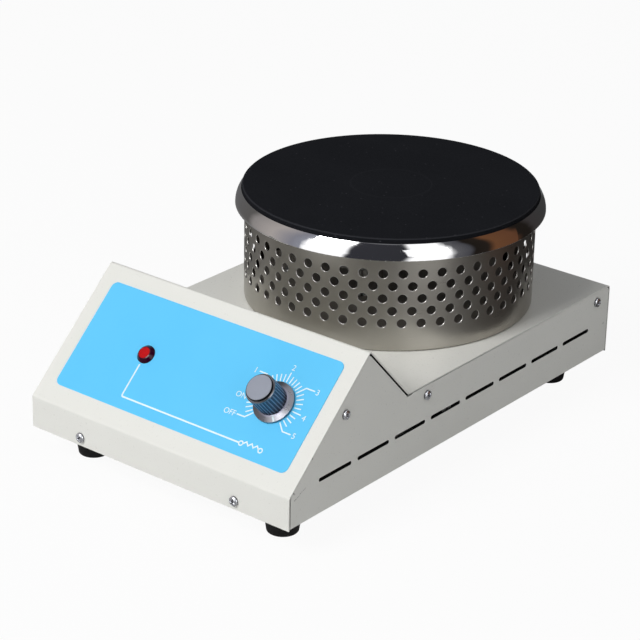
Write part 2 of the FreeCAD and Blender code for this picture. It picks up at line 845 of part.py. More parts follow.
def make_stud_nuts():
    """Nut under the pan and nut under the clamp bar."""
    pan_nut_top = pan_under - m6_washer_thickness
    bar_under, washer_under, nut_under = clamp_levels()
    bore = m6_shank + thread_play
    return Part.makeCompound([hexagon(m6_nut_flats, bore, pan_nut_top - m6_nut_height, pan_nut_top, 0, drum_y),
                              hexagon(m6_nut_flats, bore, nut_under, washer_under, 0, drum_y)])


def make_stud_washers():
    """Washer above each nut."""
    bar_under, washer_under, nut_under = clamp_levels()
    bore = m6_shank + hole_play
    levels = ((pan_under - m6_washer_thickness, pan_under), (washer_under, bar_under))
    return Part.makeCompound([tube(m6_washer_radius, bore, low, high, 0, drum_y) for low, high in levels])


def make_clamp_bar():
    """Flat bar under the deck that bears on both sides of its opening and takes the stud's pull."""
    length = 2 * (deck_opening_radius + bar_bearing)
    bar = rounded_plate(length, bar_width, bar_thickness, bar_thickness)
    bar = bar.translated(V(0, drum_y, deck_under - bar_thickness))
    return bar.cut(drill(m6_shank + hole_play, deck_under - bar_thickness, deck_under, 0, drum_y))


def lead_hole_y():
    """Depth of the hole that the element leads pass."""
    return drum_y - lead_hole_offset


def make_reflector():
    """Flat disc with its edge turned down, which keeps heat off the deck."""
    under = reflector_top - reflector_sheet
    points = [(m6_shank + stud_gap, reflector_top), (reflector_radius, reflector_top),
              (reflector_radius, reflector_top - reflector_lip)]
    face = sheet_face(points, [2 * reflector_sheet], reflector_sheet, lambda r, z: V(r, drum_y, z))
    disc = face.revolve(V(0, drum_y, 0), UP, 360)
    holes = spacer_set(drill(m3_shank + hole_play, under, reflector_top))
    return disc.cut(holes + [drill(lead_hole_radius, under, reflector_top, 0, lead_hole_y())])


def make_spacers():
    """Spacer tubes between the deck and the reflector."""
    return Part.makeCompound(spacer_set(tube(spacer_radius, m3_shank + hole_play, deck_top,
                                             deck_top + reflector_rise)))


def make_reflector_screws():
    """Screws through the reflector, its spacers and the deck."""
    length = reflector_sheet + reflector_rise + cover_sheet + m3_nut_height + screw_tail
    screw = pan_screw(m3_shank, m3_head_radius, m3_head_height, length)
    return Part.makeCompound(spacer_set(screw.translated(V(0, 0, reflector_top))))


# Power inlet

def inlet_place():
    """Placement of the inlet: local Z points out of the rear wall, local X along the wall."""
    turn = FreeCAD.Rotation(V(-1, 0, 0), V(0, 0, 1), V(0, 1, 0), "ZXY")
    return FreeCAD.Placement(V(inlet_offset, rear, base + inlet_height), turn)


def inlet_screw_places():
    """Screws of the inlet flange along its long axis."""
    return (-inlet_screw_spacing / 2, inlet_screw_spacing / 2)


def inlet_section(margin, z0, z1):
    """Six-sided shroud, a rectangle whose two upper corners are cut, wider by a margin all round."""
    w = inlet_body_width / 2 + margin
    h = inlet_body_height / 2 + margin
    corner = inlet_corner + margin * (2 - math.sqrt(2))
    ring = [V(-w, -h, z0), V(w, -h, z0), V(w, h - corner, z0), V(w - corner, h, z0), V(corner - w, h, z0),
            V(-w, h - corner, z0), V(-w, -h, z0)]
    return Part.Face(Part.makePolygon(ring)).extrude(V(0, 0, z1 - z0))


def make_inlet_body():
    """Moulded inlet: flange on the rear wall and a shroud that is open to the rear."""
    flange = rounded_plate(inlet_flange_width, inlet_flange_height, inlet_corner, inlet_flange)
    body = flange.fuse(inlet_section(0.0, -inlet_depth, 0.0))
    cuts = [inlet_section(-inlet_wall, inlet_flange - inlet_cavity_depth, inlet_flange)]
    for x, y in inlet_pin_places():
        cuts.append(inlet_pin_block(x, y, -2 * inlet_depth, 0))
    sink = m3_head_radius - m3_shank
    for x in inlet_screw_places():
        cuts.append(drill(m3_shank + hole_play, 0, inlet_flange, x))
        cuts.append(Part.makeCone(m3_shank, m3_head_radius, sink, V(x, 0, inlet_flange - sink)))
    return placed(body.cut(cuts), inlet_place())


def inlet_pin_places():
    """Live, earth and neutral pins across the shroud."""
    return [(-inlet_pin_spacing, -inlet_pin_rise), (0.0, inlet_pin_rise), (inlet_pin_spacing, -inlet_pin_rise)]


def inlet_pin_block(x, y, z0, z1):
    """Flat pin along the inlet's axis."""
    w, h = inlet_pin_width / 2, inlet_pin_height / 2
    return box(x - w, x + w, y - h, y + h, z0, z1)


def make_inlet_pins():
    """Three flat pins that run from the shroud to the tabs behind it."""
    floor = inlet_flange - inlet_cavity_depth
    pins = [inlet_pin_block(x, y, -inlet_depth - inlet_tab_length, floor + inlet_pin_length)
            for x, y in inlet_pin_places()]
    return placed(Part.makeCompound(pins), inlet_place())


def make_inlet_screws():
    """Two countersunk screws through the flange."""
    sink = m3_head_radius - m3_shank
    screws = []
    for x in inlet_screw_places():
        head = Part.makeCone(m3_shank, m3_head_radius, sink, V(x, 0, inlet_flange - sink))
        screws.append(head.fuse(rod(m3_shank, -cover_screw_length, inlet_flange - sink, x)))
    return placed(Part.makeCompound(screws), inlet_place())


def make_inlet_nuts():
    """Nuts of the inlet screws, behind the rear wall."""
    nuts = [hexagon(m3_nut_flats, m3_shank + thread_play, -cover_sheet - m3_nut_height, -cover_sheet, x)
            for x in inlet_screw_places()]
    return placed(Part.makeCompound(nuts), inlet_place())


# Lamp, potentiometer and knob; local Z points out of the panel

def make_overlay():
    """Printed plastic overlay with holes for the lamp and the control."""
    sheet = rounded_plate(body_width - 2 * overlay_side, overlay_height, overlay_corner, overlay_sheet)
    sheet.translate(V(0, panel_line, 0))
    holes = [drill(lamp_body_radius + hole_play, 0, overlay_sheet, lamp_offset, panel_line),
             drill(bushing_radius + hole_play, 0, overlay_sheet, dial_offset, panel_line)]
    return on_panel(sheet.cut(holes))


def make_lens():
    """Red lens: low rim and sloping sides up to a flat top."""
    low = overlay_sheet
    outline = [(0, low), (lens_base_radius, low), (lens_base_radius, low + lens_rim_height),
               (lens_top_radius + lens_edge_width, low + lens_height - lens_edge_drop),
               (lens_top_radius, low + lens_height), (0, low + lens_height)]
    return on_panel(revolved(outline), lamp_offset, panel_line)


def make_lamp_body():
    """Threaded body of the lamp behind its lens, with two tags."""
    body = rod(lamp_body_radius, -lamp_body_length, overlay_sheet)
    tags = [box(x - tag_sheet / 2, x + tag_sheet / 2, -tag_width / 2, tag_width / 2,
                -lamp_body_length - tag_length, -lamp_body_length) for x in (-lamp_tag_offset, lamp_tag_offset)]
    return on_panel(body.fuse(tags), lamp_offset, panel_line)


def make_lamp_nut():
    """Nut that pulls the lamp against the panel."""
    nut = hexagon(lamp_nut_flats, lamp_body_radius + thread_play, -cover_sheet - lamp_nut_height, -cover_sheet)
    return on_panel(nut, lamp_offset, panel_line)


def make_pot_case():
    """Die-cast case with its bushing; open at the back."""
    bushing_top = overlay_sheet + pot_washer_thickness + bushing_height
    outline = [(shaft_radius + shaft_play, bushing_top), (bushing_radius, bushing_top),
               (bushing_radius, -cover_sheet), (pot_radius, -cover_sheet),
               (pot_radius, -cover_sheet - pot_depth), (pot_radius - pot_wall, -cover_sheet - pot_depth),
               (pot_radius - pot_wall, -cover_sheet - 2 * pot_wall),
               (shaft_radius + shaft_play, -cover_sheet - 2 * pot_wall)]
    return on_panel(revolved(outline), dial_offset, panel_line)


def pot_floor():
    """Height of the inner face of the case's back cover."""
    return -cover_sheet - pot_depth + 2 * pot_wall


def make_pot_cover():
    """Insulating back cover that carries the resistance track."""
    disc = rod(pot_radius - pot_wall, pot_floor() - pot_wall, pot_floor())
    track = tube(track_outer, track_inner, pot_floor(), pot_floor() + pot_wall / 2)
    return on_panel(disc.fuse(track), dial_offset, panel_line)


def make_pot_tags():
    """Three solder tags in the back cover."""
    top = pot_floor() - pot_wall
    tags = [box(x - tag_width / 2, x + tag_width / 2, -pot_radius / 2 - tag_sheet, -pot_radius / 2,
                top - tag_length, top) for x in (-pot_tag_pitch, 0, pot_tag_pitch)]
    return on_panel(Part.makeCompound(tags), dial_offset, panel_line)


def make_pot_nut():
    """Nut over the panel that holds the potentiometer."""
    low = overlay_sheet + pot_washer_thickness
    return on_panel(hexagon(pot_nut_flats, bushing_radius + thread_play, low, low + pot_nut_height),
                    dial_offset, panel_line)


def make_pot_washer():
    """Washer under the potentiometer's nut."""
    return on_panel(tube(pot_washer_radius, bushing_radius + hole_play, overlay_sheet,
                         overlay_sheet + pot_washer_thickness), dial_offset, panel_line)


def flat_cut(radius, z0, z1):
    """Block that takes the flat off the shaft's end."""
    reach = radius + overshoot
    return box(radius - shaft_flat, reach, -reach, reach, z0, z1)


def shaft_end():
    """Height of the shaft's outer end."""
    return overlay_sheet + shaft_length


def flat_start():
    """Height at which the shaft's flat begins."""
    return overlay_sheet + pot_washer_thickness + bushing_height + shaft_flat_margin


def make_pot_shaft():
    """Turning shaft with a flat at its outer end."""
    shaft = rod(shaft_radius, pot_floor() + 2 * pot_wall, shaft_end())
    shaft = shaft.cut(flat_cut(shaft_radius, flat_start(), shaft_end()))
    shaft.rotate(V(0, 0, 0), UP, turn_at_rest)
    return on_panel(shaft, dial_offset, panel_line)


def make_pot_wiper():
    """Carrier disc with the wiper arm on the track."""
    low = pot_floor() + pot_wall / 2 + wiper_gap
    disc = rod(shaft_radius + 3 * pot_wall, pot_floor() + pot_wall, pot_floor() + 2 * pot_wall)
    arm = box(0, track_outer, -tag_width / 2, tag_width / 2, low, pot_floor() + 1.5 * pot_wall)
    wiper = disc.fuse(arm)
    wiper.rotate(V(0, 0, 0), UP, turn_at_rest)
    return on_panel(wiper, dial_offset, panel_line)


def knob_level(height):
    """Height above the panel sheet of a height above the knob's lower edge."""
    return overlay_sheet + knob_gap + height


def make_knob_body():
    """Knob: conical skirt and fluted grip, hollow over the nut."""
    top = knob_level(knob_height)
    hollow_top = knob_level(knob_hollow_height)
    outline = [(insert_radius, hollow_top), (knob_hollow_radius, hollow_top),
               (knob_hollow_radius + knob_hollow_flare, knob_level(0)), (skirt_radius, knob_level(0)),
               (skirt_radius, knob_level(skirt_edge_height)), (grip_radius, knob_level(skirt_height)),
               (grip_radius, top - grip_edge), (grip_radius - grip_edge, top), (cap_radius, top),
               (cap_radius, top - cap_seat), (insert_radius, top - cap_seat)]
    body = revolved(outline)
    flute = rod(flute_radius, knob_level(skirt_height) + flute_low_margin, top - flute_top_margin,
                grip_radius + flute_sink)
    body = body.cut(around(flute, flute_count, turn_at_rest))
    return on_panel(body, dial_offset, panel_line)


def make_knob_insert():
    """Brass insert with a bore that matches the shaft and its flat."""
    low = max(knob_level(knob_hollow_height), flat_start())
    top = knob_level(knob_height) - cap_seat
    insert = rod(insert_radius, low, top)
    bore = rod(shaft_radius, low, shaft_end()).cut(flat_cut(shaft_radius, low, shaft_end()))
    insert = insert.cut(bore)
    insert.rotate(V(0, 0, 0), UP, turn_at_rest)
    return on_panel(insert, dial_offset, panel_line)


def make_knob_cap():
    """Black cap pressed into the top of the knob."""
    low = knob_level(knob_height) - cap_seat
    top = knob_level(knob_height) + cap_proud
    return on_panel(rod(cap_radius, low, top), dial_offset, panel_line)


def make_knob_disc():
    """Brushed disc on the cap."""
    low = knob_level(knob_height) + cap_proud
    outline = [(0, low), (disc_radius, low), (disc_radius, low + disc_thickness * 0.5),
               (disc_radius - disc_thickness * 0.5, low + disc_thickness), (0, low + disc_thickness)]
    return on_panel(revolved(outline), dial_offset, panel_line)


# Control board

def board_level():
    """Height of the board's upper face."""
    return tray_floor + standoff_height + board_thickness


def board_hole_places():
    """Centres of the four board screws."""
    x = board_width / 2 - board_hole_inset
    y = board_depth / 2 - board_hole_inset
    return [(board_offset + i * x, front + board_back + j * y) for i in (-1, 1) for j in (-1, 1)]


def make_board():
    """Circuit board on its standoffs."""
    under = board_level() - board_thickness
    plate = rounded_plate(board_width, board_depth, board_corner, board_thickness)
    plate.translate(V(board_offset, front + board_back, under))
    return plate.cut([drill(m3_shank + hole_play, under, board_level(), x, y) for x, y in board_hole_places()])


def make_standoffs():
    """Four standoff tubes on the tray floor."""
    return Part.makeCompound([tube(standoff_radius, m3_shank + thread_play, tray_floor,
                                   tray_floor + standoff_height, x, y) for x, y in board_hole_places()])


def make_board_screws():
    """Screws through the board and the standoffs into the tray."""
    screw = pan_screw(m3_shank, m3_head_radius, m3_head_height, board_thickness + standoff_height + tray_sheet)
    return Part.makeCompound([screw.translated(V(x, y, board_level())) for x, y in board_hole_places()])


def sink_corner():
    """Left rear corner of the heat sink on the board."""
    left = board_offset - board_width / 2
    back = front + board_back + board_depth / 2
    return left + sink_inset_side, back - sink_inset_rear


def make_heat_sink():
    """Finned aluminium heat sink that stands on the board."""
    x0, y1 = sink_corner()
    z0, z1 = board_level(), board_level() + sink_height
    back = box(x0, x0 + sink_width, y1 - sink_depth, y1 - fin_depth, z0, z1)
    step = (sink_width - fin_width) / (sink_fins - 1)
    fins = [box(x0 + k * step, x0 + k * step + fin_width, y1 - fin_depth, y1, z0, z1) for k in range(sink_fins)]
    return back.fuse(fins)


def make_triac():
    """Power switch on the face of the heat sink, with three legs."""
    x0, y1 = sink_corner()
    middle = x0 + sink_width / 2
    face = y1 - sink_depth
    leg_y = face - triac_thickness / 2
    z0 = board_level() + triac_lift
    body = box(middle - triac_width / 2, middle + triac_width / 2, face - triac_thickness, face, z0,
               z0 + triac_height)
    legs = [box(x - triac_leg_width / 2, x + triac_leg_width / 2, leg_y - triac_leg_thickness / 2,
                leg_y + triac_leg_thickness / 2, board_level(), z0)
            for x in (middle - triac_leg_pitch, middle, middle + triac_leg_pitch)]
    return body.fuse(legs)


def make_capacitor():
    """Box capacitor beside the heat sink."""
    x0, y1 = sink_corner()
    x = x0 + sink_width + capacitor_gap
    low = board_level()
    return box(x, x + capacitor_width, y1 - capacitor_depth, y1, low, low + capacitor_height)


def make_choke():
    """Ring choke lying on the board, set from the edge where the wires land."""
    x = board_offset + board_width / 2 - choke_inset
    centre = V(x, front + board_back - choke_forward, board_level() + choke_section)
    return Part.makeTorus(choke_radius, choke_section, centre, UP)


# Earth stud and wiring

def make_earth_stud():
    """Stud that fixes the earth wire to the tray."""
    return rod(m4_shank, base, tray_floor + earth_length, earth_offset, rear - earth_from_rear)


def make_earth_nut():
    """Nut on the earth stud, above the lug."""
    low = tray_floor + lug_sheet
    return hexagon(m4_nut_flats, m4_shank + thread_play, low, low + m4_nut_height, earth_offset,
                   rear - earth_from_rear)


def inlet_tab(k):
    """End of one inlet tab, in the frame of the part."""
    x, y = inlet_pin_places()[k]
    return inlet_place().multVec(V(x, y, -inlet_depth - inlet_tab_length))


def board_landing(row, lane):
    """Point on the right part of the board where a wire ends, rows counted from the rear."""
    x = board_offset + board_width / 2 - wire_lane / 2 - lane * wire_lane
    y = front + board_back + board_depth / 2 - 1.5 * wire_lift - row * wire_lift
    return V(x, y, board_level())


def make_mains_wires():
    """Live and neutral from the inlet tabs along the floor to the board."""
    wires = []
    low = tray_floor + 2 * wire_radius
    for lane, k in enumerate((0, 2)):
        tab = inlet_tab(k)
        end = board_landing(0, lane)
        top = end + V(0, 0, wire_lift)
        behind = front + board_back + board_depth / 2
        path = [tab, tab - V(0, 1.6 * wire_lift, 0), V(tab.x - wire_lift, tab.y - 3 * wire_lift, low),
                V(end.x + wire_lift, behind + 2 * wire_lift, low), V(end.x, behind + wire_radius, top.z),
                top, end]
        wires.append(wire_run(path, wire_radius, wire_bend))
    return Part.makeCompound(wires)


def make_earth_wire():
    """Earth wire from the inlet to a ring lug on the stud."""
    tab = inlet_tab(1)
    low = tray_floor + wire_radius
    y = rear - earth_from_rear
    tongue_end = earth_offset - lug_radius - 2 * wire_radius
    path = [tab, tab - V(0, wire_lift, 0), V(tab.x + wire_lift, y, low), V(tongue_end + wire_radius, y, low)]
    tongue = box(tongue_end, earth_offset - m4_shank - lug_sheet, y - wire_radius, y + wire_radius, tray_floor,
                 tray_floor + lug_sheet)
    ring = rod(lug_radius, tray_floor, tray_floor + lug_sheet, earth_offset, y)
    hole = drill(m4_shank + hole_play, tray_floor, tray_floor + lug_sheet, earth_offset, y)
    return wire_run(path, wire_radius, wire_bend).fuse([tongue, ring]).cut(hole).removeSplitter()


def make_element_leads():
    """Two sleeved leads from the element through the deck, along the right wall and to the board."""
    leads = []
    wall_x = wall_inside - 3 * wire_radius
    low = tray_floor + 4 * wire_radius
    deck_low = deck_under - wire_lift
    for lane, pin in enumerate((pin_places()[0][1], pin_places()[2][0])):
        side = lane - 0.5
        start = V(pin[0], pin[1], coil_z - pin_length)
        end = board_landing(1, lane)
        top = end + V(0, 0, wire_lift)
        hole = V(side * wire_lane, lead_hole_y(), deck_top + reflector_rise + 2 * wire_lift)
        wall_y = valley_y + lead_lane_inset + side * wire_lane
        path = [start, start - V(0, 0, wire_lift), hole, V(hole.x, hole.y, deck_low),
                V(wall_x - 2 * wire_lift, wall_y + 2 * wire_lift, deck_low - wire_lift),
                V(wall_x, wall_y, deck_low - 2 * wire_lift), V(wall_x, wall_y, low),
                V(end.x + 4 * wire_lift, end.y, low), V(end.x + 2 * wire_lift, end.y, top.z), top, end]
        leads.append(wire_run(path, wire_radius, wire_bend))
    return Part.makeCompound(leads)


def make_signal_wires():
    """Thin wires from the tags of the lamp and of the potentiometer down to the board."""
    down = console.Rotation.multVec(V(0, 0, -wire_bend * 2))
    starts = [(V(lamp_offset + x, panel_line, -lamp_body_length - tag_length), None)
              for x in (-lamp_tag_offset, lamp_tag_offset)]
    tag_end = pot_floor() - pot_wall - tag_length
    starts += [(V(dial_offset + x, panel_line - pot_radius / 2 - tag_sheet / 2, tag_end), lane)
               for lane, x in enumerate((pot_tag_pitch, 0, -pot_tag_pitch))]
    wires = []
    for place, lane in starts:
        start = console.multVec(place)
        end = V(start.x, start.y - wire_bend, board_level())
        if lane is not None:
            end = board_landing(2, 0) + V(-lane * 0.8 * wire_lane, 0, 0)
        path = [start, start + down, end + V(0, 0, wire_lift), end]
        wires.append(wire_run(path, signal_radius, wire_bend / 2))
    return Part.makeCompound(wires)


def write(name, shape):
    """Write one sub-part to its own file."""
    shape.exportStep(f"parts/{name}.step")


def main():
    os.makedirs("parts", exist_ok=True)
    pieces = {
        "base_tray": make_tray(),
        "top_cover": make_cover(),
        "panel_overlay": make_overlay(),
        "cover_brackets": make_brackets(),
        "cover_screws": make_cover_screws(),
        "foot_screws": make_foot_screws(),
        "foot_nuts": make_foot_nuts(),
        "drum_guard": make_drum(),
        "drum_screws": make_drum_screws(),
        "deck_nuts": make_deck_nuts(),
        "trim_ring": make_ring(),
        "cast_plate": make_plate(),
        "groove_filling": make_filling(),
        "heating_coils": make_coils(),
        "element_pan": make_pan(),
        "pin_beads": make_beads(),
        "element_links": make_links(),
        "centre_stud": make_stud(),
        "stud_nuts": make_stud_nuts(),
        "stud_washers": make_stud_washers(),
        "clamp_bar": make_clamp_bar(),
        "heat_reflector": make_reflector(),
        "reflector_spacers": make_spacers(),
        "reflector_screws": make_reflector_screws(),
        "inlet_body": make_inlet_body(),
        "inlet_pins": make_inlet_pins(),
        "inlet_screws": make_inlet_screws(),
        "inlet_nuts": make_inlet_nuts(),
        "lamp_lens": make_lens(),
        "lamp_body": make_lamp_body(),
        "lamp_nut": make_lamp_nut(),
        "pot_case": make_pot_case(),
        "pot_cover": make_pot_cover(),
        "pot_tags": make_pot_tags(),
        "pot_nut": make_pot_nut(),
        "pot_washer": make_pot_washer(),
        "pot_shaft": make_pot_shaft(),
        "pot_wiper": make_pot_wiper(),
        "knob_body": make_knob_body(),
        "knob_insert": make_knob_insert(),
        "knob_cap": make_knob_cap(),
        "knob_disc": make_knob_disc(),
        "control_board": make_board(),
        "board_standoffs": make_standoffs(),
        "board_screws": make_board_screws(),
        "heat_sink": make_heat_sink(),
        "triac": make_triac(),
        "filter_capacitor": make_capacitor(),
        "choke": make_choke(),
        "earth_stud": make_earth_stud(),
        "earth_nut": make_earth_nut(),
        "earth_wire": make_earth_wire(),
        "mains_wires": make_mains_wires(),
        "element_leads": make_element_leads(),
        "signal_wires": make_signal_wires(),
    }
    corners = ("front_left", "front_right", "rear_left", "rear_right")
    for corner, (x, y) in zip(corners, foot_places()):
        pieces[f"foot_{corner}"] = make_foot(x, y)
    for name, shape in pieces.items():
        write(name, shape)
        print(f"{name}: {len(shape.Solids)} solids, {shape.Volume:.0f} mm3, valid {shape.isValid()}")


main()
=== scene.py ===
"""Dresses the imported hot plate: camera, studio, finishes, print, knob pointer, screw heads, hole lips.

Metres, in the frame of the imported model: +X to the right seen from the control panel, +Y to the rear,
+Z up, with the origin on the bench between the four feet.
"""
import json
import logging
import math
from dataclasses import dataclass
from enum import Enum

import bpy
import numpy as np
from bpy.types import ID, Material, Node, NodeSocket, NodeTree, Object
from mathutils import Matrix, Vector


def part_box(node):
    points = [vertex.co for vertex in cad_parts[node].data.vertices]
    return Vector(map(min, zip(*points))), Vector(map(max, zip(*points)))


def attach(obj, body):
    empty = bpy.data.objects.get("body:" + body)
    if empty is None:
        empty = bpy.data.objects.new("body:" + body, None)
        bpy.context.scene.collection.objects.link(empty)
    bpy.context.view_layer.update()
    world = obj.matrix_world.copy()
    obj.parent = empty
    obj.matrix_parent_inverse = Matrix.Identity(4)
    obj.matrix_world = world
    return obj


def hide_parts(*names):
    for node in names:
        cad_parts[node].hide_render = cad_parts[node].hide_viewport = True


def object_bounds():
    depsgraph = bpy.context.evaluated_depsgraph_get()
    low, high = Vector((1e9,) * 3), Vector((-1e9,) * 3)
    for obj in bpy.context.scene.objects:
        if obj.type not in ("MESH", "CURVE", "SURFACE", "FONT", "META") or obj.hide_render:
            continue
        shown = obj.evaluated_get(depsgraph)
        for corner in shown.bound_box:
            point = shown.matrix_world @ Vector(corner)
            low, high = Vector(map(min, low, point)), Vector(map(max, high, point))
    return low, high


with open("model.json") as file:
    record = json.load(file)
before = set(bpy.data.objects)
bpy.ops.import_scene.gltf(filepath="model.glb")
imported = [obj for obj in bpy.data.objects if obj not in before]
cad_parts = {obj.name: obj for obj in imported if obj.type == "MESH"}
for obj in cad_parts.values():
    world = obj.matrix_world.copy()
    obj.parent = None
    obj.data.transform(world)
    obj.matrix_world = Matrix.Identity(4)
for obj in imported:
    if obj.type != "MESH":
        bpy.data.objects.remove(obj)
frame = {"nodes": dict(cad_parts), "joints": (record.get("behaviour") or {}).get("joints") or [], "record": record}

CAD_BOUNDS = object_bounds()
Pair = tuple[float, float]
Triple = tuple[float, float, float]
Stops = tuple[tuple[float, Triple], ...]
MM = 0.001
IMAGE_SIDE = 640
# Scale of a Wave texture that has one wave in each metre
RING_WAVE = 2 * math.pi / 20
ORIGIN = (0.0, 0.0, 0.0)
WHITE = (1.0, 1.0, 1.0)
# Finishes that belong to no slot of the record
EXTRA_FINISHES = ("housing_inside", "reflector_tinted", "white_print", "screw_shade", "lip_bright")
LOG = logging.getLogger("hot_plate")


class Body(Enum):
    """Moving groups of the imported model."""

    BASE = "base"
    KNOB = "knob"


class Pattern(Enum):
    """Kinds of surface structure that a finish can have."""

    EVEN = "even fine grain"
    BRUSHED = "streaks that run round the upright axis"
    TURNED = "fine rings round the knob's axis"
    WOVEN = "weave of a sleeve"


@dataclass(frozen=True)
class Finish:
    """Numbers of one surface finish.

    Attributes:
        colour: Main colour, linear.
        drift: Second colour that the surface drifts to in soft patches, linear.
        drift_amount: Share of the second colour at the strongest patch.
        rough: Roughness in the middle of its range.
        rough_spread: How far roughness moves to both sides.
        metallic: 1 for bare metal, 0 otherwise.
        pattern: Kind of fine structure.
        pitch_mm: Size of one grain of the structure.
        bump: Strength of the relief.
        specular: Strength of the clear reflection of a surface that isn't metal; 0.5 is usual.
    """

    colour: Triple
    drift: Triple
    drift_amount: float = 0.5
    rough: float = 0.45
    rough_spread: float = 0.06
    metallic: float = 0.0
    pattern: Pattern = Pattern.EVEN
    pitch_mm: float = 0.6
    bump: float = 0.08
    specular: float = 0.5


FINISHES: dict[str, Finish] = {
    "plated_steel": Finish((0.56, 0.56, 0.55), (0.42, 0.41, 0.38), rough=0.36, metallic=1.0,
                           pattern=Pattern.BRUSHED, pitch_mm=0.35),
    "bright_screw": Finish((0.86, 0.88, 0.93), (0.7, 0.72, 0.77), rough=0.26, metallic=1.0, pitch_mm=0.5,
                           bump=0.04),
    # Darker metal painted as shade on the screws' steep rims and recess floors
    "screw_shade": Finish((0.16, 0.16, 0.18), (0.1, 0.1, 0.12), rough=0.3, metallic=1.0, bump=0.04),
    "foot_rubber": Finish((0.008, 0.008, 0.009), (0.016, 0.016, 0.016), rough=0.55, pitch_mm=0.5, bump=0.2,
                          specular=0.25),
    "drum_steel": Finish((0.46, 0.44, 0.4), (0.37, 0.35, 0.31), 0.4, rough=0.3, rough_spread=0.03,
                         metallic=1.0, pattern=Pattern.BRUSHED, pitch_mm=0.3, bump=0.02),
    "lip_bright": Finish((0.46, 0.45, 0.43), (0.36, 0.35, 0.33), 0.4, rough=0.36, metallic=1.0,
                         pitch_mm=0.4, bump=0.02),
    "ring_chrome": Finish((0.8, 0.8, 0.81), (0.7, 0.7, 0.7), 0.3, rough=0.05, rough_spread=0.02, metallic=1.0,
                          pitch_mm=0.8, bump=0.01),
    "ceramic": Finish((0.72, 0.69, 0.61), (0.55, 0.52, 0.46), rough=0.8, bump=0.2),
    "element_steel": Finish((0.3, 0.27, 0.24), (0.16, 0.15, 0.2), rough=0.45, metallic=1.0,
                            pattern=Pattern.BRUSHED),
    "pan_aluminium": Finish((0.68, 0.68, 0.67), (0.5, 0.5, 0.5), rough=0.34, metallic=1.0,
                            pattern=Pattern.BRUSHED),
    "black_moulding": Finish((0.005, 0.005, 0.006), (0.01, 0.01, 0.01), rough=0.4, bump=0.05, specular=0.1),
    "brass_plain": Finish((0.62, 0.43, 0.16), (0.42, 0.28, 0.1), rough=0.3, metallic=1.0,
                          pattern=Pattern.BRUSHED),
    "brown_laminate": Finish((0.2, 0.09, 0.03), (0.12, 0.05, 0.02), rough=0.5, pattern=Pattern.WOVEN),
    "knob_disc_aluminium": Finish((0.28, 0.3, 0.35), (0.24, 0.26, 0.31), 0.4, rough=0.42, metallic=1.0,
                                  pattern=Pattern.TURNED, pitch_mm=0.3, bump=0.06),
    # Near black, painted as shade on the inner faces of the sheets and on the walls of the slots
    "housing_inside": Finish((0.02, 0.02, 0.02), (0.035, 0.035, 0.034), rough=0.8, specular=0.1),
    # Reflector metal darkened as painted shade, so that the drum's holes look dark
    "reflector_tinted": Finish((0.36, 0.33, 0.29), (0.22, 0.19, 0.17), 0.8, rough=0.6, metallic=0.4,
                               pattern=Pattern.BRUSHED, pitch_mm=0.5, bump=0.05),
    "board_green": Finish((0.02, 0.14, 0.05), (0.01, 0.09, 0.03), rough=0.35, pattern=Pattern.WOVEN),
    "black_aluminium": Finish((0.02, 0.02, 0.02), (0.04, 0.04, 0.04), rough=0.5, metallic=0.6,
                              pattern=Pattern.BRUSHED),
    "yellow_moulding": Finish((0.65, 0.42, 0.05), (0.5, 0.32, 0.04), rough=0.4),
    "choke_copper": Finish((0.5, 0.2, 0.07), (0.35, 0.12, 0.04), rough=0.3, metallic=0.8,
                           pattern=Pattern.TURNED, pitch_mm=0.8),
    "wire_green": Finish((0.05, 0.3, 0.04), (0.3, 0.32, 0.02), 0.9, rough=0.45),
    "wire_brown": Finish((0.12, 0.05, 0.02), (0.08, 0.03, 0.015), rough=0.45),
    "sleeve_white": Finish((0.78, 0.78, 0.74), (0.6, 0.6, 0.56), rough=0.85, pattern=Pattern.WOVEN, bump=0.4),
    "wire_grey": Finish((0.22, 0.22, 0.22), (0.16, 0.16, 0.16), rough=0.45),
    "white_print": Finish((0.8, 0.93, 0.97), (0.7, 0.9, 0.97), rough=0.5, pitch_mm=0.3, bump=0.04),
}


